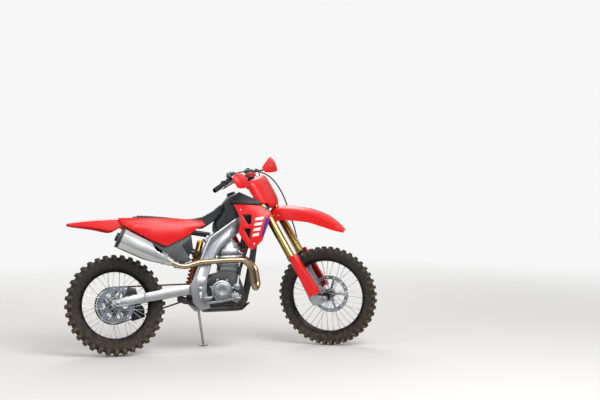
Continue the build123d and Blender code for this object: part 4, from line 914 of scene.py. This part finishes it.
# Black anodised tube: a dark metal whose highlight still shows its curve.
bar_metal = surface("black_anodised_bar", "#17181A", "#222326", patch=40, grain=0.6, bump=0.15,
                    roughness=0.38, spread=0.1, metallic=0.9)
# Painted die casting: smoother than the engine's.
control_black = surface("cast_control_black", "#191A1C", "#242528", patch=30, grain=0.8, bump=0.2,
                        roughness=0.42, spread=0.1, coat=0.1)
# Soft rubber: dull, with an open grain.
grip_rubber = surface("black_grip_rubber", "#141414", "#1D1D1D", patch=20, grain=1.2, bump=0.5,
                      roughness=0.7, spread=0.1)
dress(bar_metal, "handlebar")
softened("hand_controls", control_black, "steering", 2)
softened("rear_caliper", control_black, width=3)
softened("front_caliper", control_black, "steering", 3)
# The bar's middle line on the left, from its clamp over its bend to its end.
bar_clamp, bar_bend, bar_end = (Vector((-14, 76, 968)), Vector((-76, 186, 1024)),
                                Vector((-128, 402, 1010)))
bar_radius, grip_long = 11, 132
bar_fit, grip_fit = bar_radius + 0.3, bar_radius + 0.4
grip_way = (bar_end - bar_bend).normalized()
# Each side of the machine as its sign and as a matrix that takes a place on the left to it.
both_sides = [(flank, Matrix.Diagonal((1, flank, 1, 1))) for flank in (1, -1)]
# The grip has a flange at its inner end and a soft rib every 6 mm.
ridges = [(16.3 + (0.9 if i % 2 else -0.5), 6 + i * 3) for i in range(40)]
grip_profile = ([(grip_fit, -4), (24, -4), (25, -2.5), (25, 0), (23, 1.5), (18, 3)] + ridges
                + [(16.5, grip_long - 3), (14, grip_long), (grip_fit, grip_long)])
work = bmesh.new()
for _, flip in both_sides:
    turn_into(work, grip_profile, 28,
              along(flip @ (bar_end - grip_way * grip_long), flip @ bar_end))
made("grip_rubbers", work, grip_rubber, fork, "steering", "grip_rubber", "grips")

# Each lever's blade tapers from a round pivot to a ball.
pivot_barrel, lever_pivot, lever_knee, lever_ball = (
    Vector((-37, 222, 1000)), Vector((-40, 232, 1000)), Vector((-43, 300, 1000)),
    Vector((-70, 392, 996)))
work = bmesh.new()
for _, flip in both_sides:
    pivot, knee, ball = flip @ lever_pivot, flip @ lever_knee, flip @ lever_ball
    bar_into(work, pivot, knee, 7.5, 12, 6)
    bar_into(work, knee, ball, 6, 12, 5)
    bmesh.ops.create_uvsphere(work, u_segments=16, v_segments=10, radius=8.5,
                              matrix=Matrix.Translation(ball))
    turn_into(work, [(0, -16), (8, -16), (9, -14), (9, 14), (8, 16), (0, 16)], 18,
              Matrix.Translation(flip @ pivot_barrel))
made("lever_blades", work, silver_lower, fork, "steering", "fork_silver")
work = bmesh.new()
turn_into(work, [(0, 0), (12.5, 0), (13.5, 2), (13.5, 62), (11, 66), (8, 70), (8, 75), (0, 75)], 24,
          along((-51, -226, 1051), (-51, -150, 1051)))
turn_into(work, [(0, 0), (19, 0), (20, 2), (20, 12), (18, 14), (0, 14)], 24,
          Matrix.Translation((-52, -205, 1060)))
made("brake_master_cylinder", work, silver_lower, fork, "steering", "fork_silver")

# Switch blocks: a turned collar round the bar with a raised button.
work = bmesh.new()
for flank, flip in both_sides:
    collar = flip @ bar_clamp.lerp(bar_bend, 0.78)
    turn_into(work, [(bar_fit, 0), (18, 0), (19, 2), (19, 22), (18, 24), (bar_fit, 24)], 24,
              along(collar, flip @ bar_bend))
    turn_into(work, [(0, 14), (8, 14), (8, 21), (6, 24), (0, 24)], 18,
              along(collar + Vector((-6, 6 * flank, 4)), collar + Vector((-40, 6 * flank, 50))))
made("bar_switches", work, control_black, fork, "steering", "control_black")
# Each row of the table: name, radius and points of a cable; all end behind the number plate.
for name, radius, points in [
        ("throttle_cable", 4, [(-62, -196, 1012), (-40, -168, 1006), (-4, -128, 1002),
                               (24, -92, 984), (34, -60, 950), (30, -40, 905), (24, -30, 870)]),
        ("clutch_cable", 4, [(-30, 210, 1000), (-4, 176, 1004), (24, 128, 1002), (38, 84, 976),
                             (38, 56, 936), (32, 40, 880)]),
        ("switch_lead", 3, [(-40, 150, 1000), (-20, 120, 985), (4, 92, 968), (16, 62, 945),
                            (20, 40, 905)])]:
    hose(name, radius, points, fork, "steering")
brake_route = [(-46, -148.5, 1046), (-16, -122, 1040), (28, -78, 1018), (76, -18, 984),
               (112, 40, 915), (114, 88, 820), (98, 120, 715), (66, 142, 610), (44, 150, 500),
               (10, 152, 410), (-24, 136, 320), (-38, 110, 215), (-46, 76, 130), (-46, 66, 77.2)]
hose("brake_line", 4.6, brake_route, fork, "steering", "brake_hose")

# The guards' arms are forged and painted, each in a clamp round the bar inside the lever.
arm_clamp_out = 92
rise_way = (bar_bend - bar_clamp).normalized()
arm_root = bar_clamp + rise_way * arm_clamp_out
work = bmesh.new()
for _, flip in both_sides:
    turn_into(work, [(bar_fit, -10), (16.5, -10), (17.5, -8), (17.5, 8), (16.5, 10),
                     (bar_fit, 10)], 24, along(flip @ arm_root, flip @ (arm_root + rise_way)))
    bar_into(work, flip @ (arm_root + Vector((10, 0, -3))), flip @ Vector((31, 212, 975)), 7, 10, 6)
    bar_into(work, flip @ Vector((28, 208, 976)), flip @ Vector((58, 262, 974)), 6, 10, 4)
made("handguard_arms", work, control_black, fork, "steering", "control_black", "handguards")
rows = [((68, flank * 268, 974), (1, 0, 0), (0, 1, 0), 5) for flank in (1, -1)]
rows += [((-14 + away, flank * 38, 990), (0, 0, 1), (1, 0, 0), 5)
         for away in (-15, 15) for flank in (1, -1)]
put_on_points("bar_screws", screw, steel, rows, fork, "steering", "bright_steel")

# The bar pad is a foam block in a sewn vinyl cover, red with a leathery grain, with two pale bands
# printed across it.
pad_vinyl = surface("bar_pad_vinyl", "#C9151B", "#B31217", patch=50, grain=1.4, bump=0.4,
                    roughness=0.5, spread=0.1)
pad_x, pad_z = -15, 985
pad_line = [(-55, 964), (-57, 984), (-54, 999), (-40, 1003), (-10, 1006), (14, 1007), (25, 1000),
            (27, 984), (26, 964), (12, 964), (11, 985), (0, 990), (-28, 990), (-37, 985),
            (-38, 964)]
# Each row of the table: how far a slice lies to the side, and how full the foam makes it.
slices = [(-54, 0.9), (-51, 0.98), (-30, 1.02), (0, 1.03), (30, 1.02), (51, 0.98), (54, 0.9)]
work = bmesh.new()
skin_into(work, [[((x - pad_x) * swell + pad_x, y, (z - pad_z) * swell + pad_z)
                  for x, z in pad_line] for y, swell in slices])
pad = set_down("bar_pad_cover", work, pad_vinyl)
rounded_out(pad)
settle(pad, "steering", ["bar_pad"], fork)
pad_top = [(-52, 1001.6), (-40, 1005), (-10, 1008), (12, 1009), (22, 1004)]
bands = [([[(x, y, z) for x, z in pad_top] for y in (middle - 4, middle, middle + 4)], (0, 0, 1))
         for middle in (-12, 12)]
moulded("bar_pad_bands", bands, 0.6, white_film, fork, "steering", "pad_cover")

# Wheels.
# Knobbly tyres on black anodised rims of 18 and 21 inches, laced with 36 stainless spokes a wheel
# to machined hubs; the tread blocks stand in staggered rows with open gaps between them.

# Copies of a piece in a ring about Z: how many, and the first one's turn.
in_ring, given = new_tree("pieces_in_ring", [("Geometry", "Geometry"), ("Piece", "Object"),
                                             ("Count", "Int"), ("Start", "Float"),
                                             ("Finish", "Material")])
spots = add_node(in_ring, "GeometryNodeMeshLine", {"Count": given.outputs["Count"],
                                                   "Offset": (0, 0, 0)})
place_in_row = add_node(in_ring, "GeometryNodeInputIndex")
share = add_node(in_ring, "ShaderNodeMath", {0: place_in_row.outputs[0],
                 1: given.outputs["Count"]}, operation="DIVIDE")
angle = add_node(in_ring, "ShaderNodeMath", {0: share.outputs[0], 1: tau,
                 2: given.outputs["Start"]}, operation="MULTIPLY_ADD")
about = add_node(in_ring, "ShaderNodeCombineXYZ", {"Z": angle.outputs[0]})
one = add_node(in_ring, "GeometryNodeObjectInfo", {"Object": given.outputs["Piece"]})
many = add_node(in_ring, "GeometryNodeInstanceOnPoints",
                {"Points": spots.outputs["Mesh"], "Instance": one.outputs["Geometry"],
                 "Rotation": about.outputs[0]})
end_tree(in_ring, given, many.outputs["Instances"])


def put_in_ring(name, one, count, start, finish, place, body):
    """A ring of copies of a piece about a wheel's axle; the piece itself goes."""
    ring = link_object(name, bpy.data.meshes.new(name))
    run_tree(ring, in_ring, {"Piece": one, "Count": count, "Start": start, "Finish": finish})
    settle(ring, body, place=place)
    bpy.data.objects.remove(one)


block_lean, block_round = 0.14, 1.3


def tread_block(outlines, long):
    """One tread block or a pair: each outline is its radii and sides, and its ends lean in."""
    work = bmesh.new()
    for line in outlines:
        low, high = min(line)[0], max(line)[0]
        skin_into(work, [[(radius, flank * long / 2 * (1 - block_lean * (radius - low)
                                                       / (high - low)), side)
                          for radius, side in line] for flank in (1, -1)])
    bmesh.ops.recalc_face_normals(work, faces=work.faces)
    bmesh.ops.bevel(work, geom=work.edges[:], offset=block_round, segments=1, affect="EDGES",
                    clamp_overlap=True)
    return set_down("tread_block", work)


def other_side(line):
    """The points of a section on the wheel's other side, from the last back to the first."""
    return [(radius, -side) for radius, side in reversed(line)]


# Rubber dulled by dry soil: near black where it has rubbed, brown between the blocks.
tyre_rubber = surface("dusty_tyre_rubber", "#181513", "#241F1B", patch=22, grain=2.2, bump=0.7,
                      roughness=0.8, spread=0.1, dust=0.4)
# The same rubber scuffed pale on the blocks, where most of the soil clings.
tread_rubber = surface("scuffed_tread_rubber", "#2A2520", "#453C32", patch=12, grain=2.2, bump=0.7,
                       roughness=0.85, spread=0.1, dust=0.9)
# Black anodised extrusion: a dark satin metal.
rim_black = surface("black_anodised_rim", "#141517", "#1E1F22", patch=60, grain=0.5, bump=0.1,
                    roughness=0.32, spread=0.1, metallic=0.8, dust=0.35)
# Drawn stainless wire: thin bright lines.
spoke_steel = surface("stainless_spoke", "#C3C5C8", "#A9ABAE", patch=20, grain=0.5, bump=0.05,
                      roughness=0.25, spread=0.05, metallic=1.0)
# Ground stainless plate, kept bright by the pads: a clean grey metal whose slight blue tint is a
# painted reflection of the sky.
disc_steel_sky_tinted = surface("stainless_disc_sky_tinted", "#9AA2AE", "#858D99", patch=30, grain=0.5, bump=0.2,
                     roughness=0.3, spread=0.1, metallic=1.0)
# Machined and black anodised: a dark metal with fine tool marks.
hub_black = surface("anodised_hub", "#1C1D20", "#2A2B2F", patch=40, grain=0.6, bump=0.15,
                    roughness=0.36, spread=0.1, metallic=0.9, dust=0.3)

carcass_wall, round_sides = 9, 120
spoke_radius, spoke_groups, nipple_long = 1.9, 9, 16
# Each row of the table: name, place, crown radius and lug height, half section, bead radius and
# half width, hub flange radius and half width, barrel radius, half hub length, rows of tread
# blocks, and a block's length round the tyre.
wheels = [("rear", rear_wheel, 322, 16, 52, 241, 27, 44, 34, 27, 93.7, 36, 26),
          ("front", front_wheel, 333, 13, 39, 266, 20, 34, 30, 24, 94.7, 44, 21)]
for (name, place, crown, lug, section, bead, bead_half, flange, flange_half, barrel, hub_half,
     tread_rows, block_long) in wheels:
    body = name + "_wheel"
    # Carcass: an oval from bead to bead, hollow inside.
    widest = crown - 0.62 * section
    foot = -acos(bead_half / section)
    oval = []
    for i in range(25):
        turn = foot + (pi / 2 - foot) * i / 24
        reach = crown - widest if turn > 0 else (widest - bead) / sin(-foot)
        oval.append((widest + reach * sin(turn), section * 0.985 * cos(turn)))
    inner = [(radius - carcass_wall if radius > bead + 14 else radius + 1, side * 0.8)
             for radius, side in oval[2:-1]]
    lining = inner + [(crown - carcass_wall, 0)] + other_side(inner)
    work = bmesh.new()
    turn_into(work, oval + other_side(oval[:-1]) + lining[::-1], round_sides)
    made(name + "_tyre_carcass", work, tyre_rubber, place, body, "tyre_rubber", name + "_tyre")

    # Tread: the outlines of the blocks across the tyre, as radius and side.
    tread = 0.42 * section
    top, root = crown + lug, crown - 5
    shoulder = crown - 0.32 * section
    single = [[(root, -tread * 0.62), (top, -tread * 0.55), (top, tread * 0.55),
               (root, tread * 0.62)]]
    pair, inners, shoulders = (
        [[(radius, flank * side) for radius, side in line] for flank in (1, -1)]
        for line in ([(root, 2.5), (top, 3.5), (top, tread - 4), (root, tread - 2)],
                     [(crown - 7, tread * 0.72), (top - 1.5, tread * 0.78), (top - 3, tread + 3.5),
                      (crown - 8, tread + 5)],
                     [(root, tread + 3), (top - 4, tread + 7), (shoulder + lug - 3, section + 4),
                      (shoulder - 8, section + 3), (shoulder - 10, section - 5)]))
    step = tau / tread_rows
    # Each row of the table: name, outlines, length, how many, and turn of the first one.
    for piece, outlines, long, count, start in [
            ("tread_pairs", pair, block_long, tread_rows // 2, 0),
            ("tread_middles", single, block_long, tread_rows // 2, step),
            ("tread_inners", inners, block_long * 0.85, tread_rows // 2, step),
            ("tread_shoulders", shoulders, block_long, tread_rows, step * 0.11)]:
        put_in_ring(name + "_" + piece, tread_block(outlines, long), count, start, tread_rubber,
                    place, body)

    # Rim: a drop centre between two walls that end in rolled lips.
    well, lip = bead - 20, bead + 9
    outside = [(well, 0), (well + 0.5, 8), (well + 8, bead_half - 5), (bead - 4, bead_half + 3),
               (bead, bead_half + 4), (bead + 7, bead_half + 4), (lip, bead_half + 3)]
    inside = [(lip, bead_half + 0.8), (bead + 1, bead_half + 0.4), (bead - 1, bead_half - 1),
              (well + 12, bead_half - 9), (well + 6, 6), (well + 5, 0)]
    work = bmesh.new()
    turn_into(work, other_side(outside[1:]) + outside + inside + other_side(inside[:-1]),
              round_sides)
    made(name + "_rim_ring", work, rim_black, place, body, "rim_black", name + "_rim")

    # Hub: a waisted barrel between two flanges, with a sleeve out to the axle's spacer each side.
    half_hub = [(12.6, -hub_half), (barrel * 0.62, -hub_half), (barrel * 0.8, -hub_half + 3),
                (barrel * 0.8, -flange_half - 7), (flange - 3, -flange_half - 4),
                (flange, -flange_half - 2), (flange, -flange_half + 2),
                (flange - 3, -flange_half + 4), (barrel, -flange_half + 13), (barrel - 2, 0)]
    work = bmesh.new()
    turn_into(work, half_hub + other_side(half_hub[:-1]), 60)
    made(name + "_hub_body", work, hub_black, place, body, "spoke_steel", name + "_hub")

    # Spokes: a group of four crossed ones with their heads and nipples, repeated round the hub.
    work = bmesh.new()
    # Each row of the table: side of the hub, lean of the spoke, turn of its rim hole in degrees.
    for flank, lean, turn in [(1, 62, 0), (-1, 62, 10), (1, -62, 20), (-1, -62, 30)]:
        rim_hole, hub_hole = radians(turn), radians(turn + lean)
        start = Vector(((flange - 5) * cos(hub_hole), (flange - 5) * sin(hub_hole),
                        flank * flange_half))
        end = Vector(((well - 1) * cos(rim_hole), (well - 1) * sin(rim_hole), flank * 5))
        bar_into(work, start, end, spoke_radius, 8)
        way = (end - start).normalized()
        turn_into(work, [(0, 0), (2.6, 0), (3.2, 2), (3.2, 13), (4, 14), (4, nipple_long),
                         (0, nipple_long)], 8, along(end - way * nipple_long, end))
        # The head lies against the flange's outer face.
        head = Matrix.Translation(start)
        if flank > 0:
            head = head @ Matrix.Rotation(pi, 4, "X")
        turn_into(work, [(0, -5.5), (3.4, -5), (3.4, -4.2), (0, -4.2)], 10, head)
    put_in_ring(name + "_spokes", set_down("spoke_group", work), spoke_groups, 0, spoke_steel,
                place, body)
# Both discs take the stainless finish with the sky's reflection painted into its colour as a blue
# tint.
dress(disc_steel_sky_tinted, "rear_disc", "front_disc")
# Hard anodised plate: a dull grey, rubbed paler by the chain.
sprocket_alloy = surface("hard_anodised_sprocket", "#8F9194", "#74767A", patch=30, grain=0.6,
                         bump=0.2, roughness=0.36, spread=0.1, metallic=1.0, dust=0.3)
softened("rear_sprocket", sprocket_alloy, "rear_wheel", 0.4)
# Each row of the table: name, place and body of the screws, their face's height on the axle and the
# way it faces, their ring's radius, and how many.
for name, place, body, face, way, ring, count in [
        ("rear_disc_screws", rear_wheel, "rear_wheel", -76, -1, 33, 4),
        ("sprocket_screws", rear_wheel, "rear_wheel", 78, 1, 49, 6),
        ("front_disc_screws", front_wheel, "front_wheel", 62, 1, 29, 6)]:
    turns = [tau * (i + 0.5) / count for i in range(count)]
    rows = [((ring * cos(turn), ring * sin(turn), face), (0, 0, way), (1, 0, 0), 4.4)
            for turn in turns]
    put_on_points(name, screw, steel, rows, place, body, "bright_steel")

# Final drive.
# A roller chain of pressed steel plates over hardened rollers, brown with old oil and dust, that
# runs from the engine's small sprocket round the wheel's.

# Pressed steel under an oily film: brown, with broken glints.
chain_steel = surface("oiled_chain_steel", "#655C4A", "#3D382F", patch=8, grain=0.8, bump=0.3,
                      roughness=0.42, spread=0.15, metallic=1.0)
chain_pitch, chain_side = 15.875, 75
# The pitch radii of the wheel's sprocket of 49 teeth and the engine's of 13, and the run between.
rear_pitch, front_pitch = (chain_pitch / (2 * sin(pi / teeth)) for teeth in (49, 13))
engine_sprocket = (640, 432)
run = Vector((engine_sprocket[0], engine_sprocket[1] - rear_radius))
slope = atan2(run.y, run.x)
straight = sqrt(run.length ** 2 - (rear_pitch - front_pitch) ** 2)
wrap = atan2(straight, rear_pitch - front_pitch)
rear_arc, front_arc = rear_pitch * 2 * (pi - wrap), front_pitch * 2 * wrap
chain_long = 2 * straight + rear_arc + front_arc
links = 2 * round(chain_long / (2 * chain_pitch))


def on_chain(far):
    """The pin line's x and z at a distance round the loop from the rear sprocket's top."""
    far %= chain_long
    if far < straight:
        turn, centre, radius, ahead = slope + wrap, Vector((0, 0)), rear_pitch, far
    elif far < straight + front_arc:
        turn, centre, radius, ahead = (slope + wrap - (far - straight) / front_pitch, run,
                                       front_pitch, 0)
    elif far < 2 * straight + front_arc:
        turn, centre, radius, ahead = (slope - wrap, run, front_pitch,
                                       far - straight - front_arc)
    else:
        turn, centre, radius, ahead = (slope - wrap - (far - 2 * straight - front_arc) / rear_pitch,
                                       Vector((0, 0)), rear_pitch, 0)
    return (centre + Vector((cos(turn), sin(turn))) * radius
            + Vector((sin(turn), -cos(turn))) * ahead)


plate_tall, plate_waist = 6.2, 0.66


def link(near, far):
    """One chain link: two waisted plates between two heights each side, and a roller on a pin."""
    work = bmesh.new()
    half = chain_pitch / 2
    line = []
    for end in (1, -1):
        for i in range(7):
            turn = pi / 2 - pi * i / 6 if end > 0 else -pi / 2 - pi * i / 6
            line.append((end * half + plate_tall * cos(turn) * 0.95, plate_tall * sin(turn)))
        line.append((0, -end * plate_tall * plate_waist))
    for flank in (1, -1):
        skin_into(work, [[(x, y, flank * height) for x, y in line] for height in (near, far)])
    for radius, reach, sides in ((4.6, near, 10), (2, far + 0.5, 8)):
        turn_into(work, [(0, -reach), (radius, -reach), (radius, reach), (0, reach)], sides,
                  Matrix.Translation((half, 0, 0)))
    return set_down("chain_link", work)


# Each row of the table: name, first place in the chain, the link, and the CAD node it replaces.
for name, first, one, replaced in (("inner_links", 0, link(3.2, 4.7), ["chain"]),
                                   ("outer_links", 1, link(4.8, 6.3), [])):
    rows = []
    for i in range(first, links, 2):
        near, far = (on_chain(chain_long * (i + k) / links) for k in (0, 1))
        middle, ahead = (near + far) / 2, (far - near).normalized()
        rows.append(((middle.x, chain_side, middle.y + rear_radius), (0, 1, 0),
                     (ahead.x, 0, ahead.y), 1.0))
    put_on_points("chain_" + name, one, chain_steel, rows, bike, "chassis", "chain_steel",
                  *replaced)
    bpy.data.objects.remove(one)

# Rear shock.
# A gold anodised damper body with its reservoir inside a red enamelled coil spring, between the
# frame and the linkage under the swingarm.

# Powder enamel on wire: deep red with a smooth gloss.
spring_paint = surface("red_spring_enamel", "#B3161B", "#9A1217", patch=40, grain=0.5, bump=0.05,
                       roughness=0.28, spread=0.06, coat=0.3)
# Gold anodised aluminium: a deep warm satin metal.
shock_metal = surface("gold_anodised_shock", "#A98243", "#8E6B34", patch=40, grain=0.5, bump=0.1,
                      roughness=0.3, spread=0.06, metallic=1.0)
dress(spring_paint, "shock_spring")
softened("shock_absorber", shock_metal, width=1)

bpy.data.objects.remove(screw)
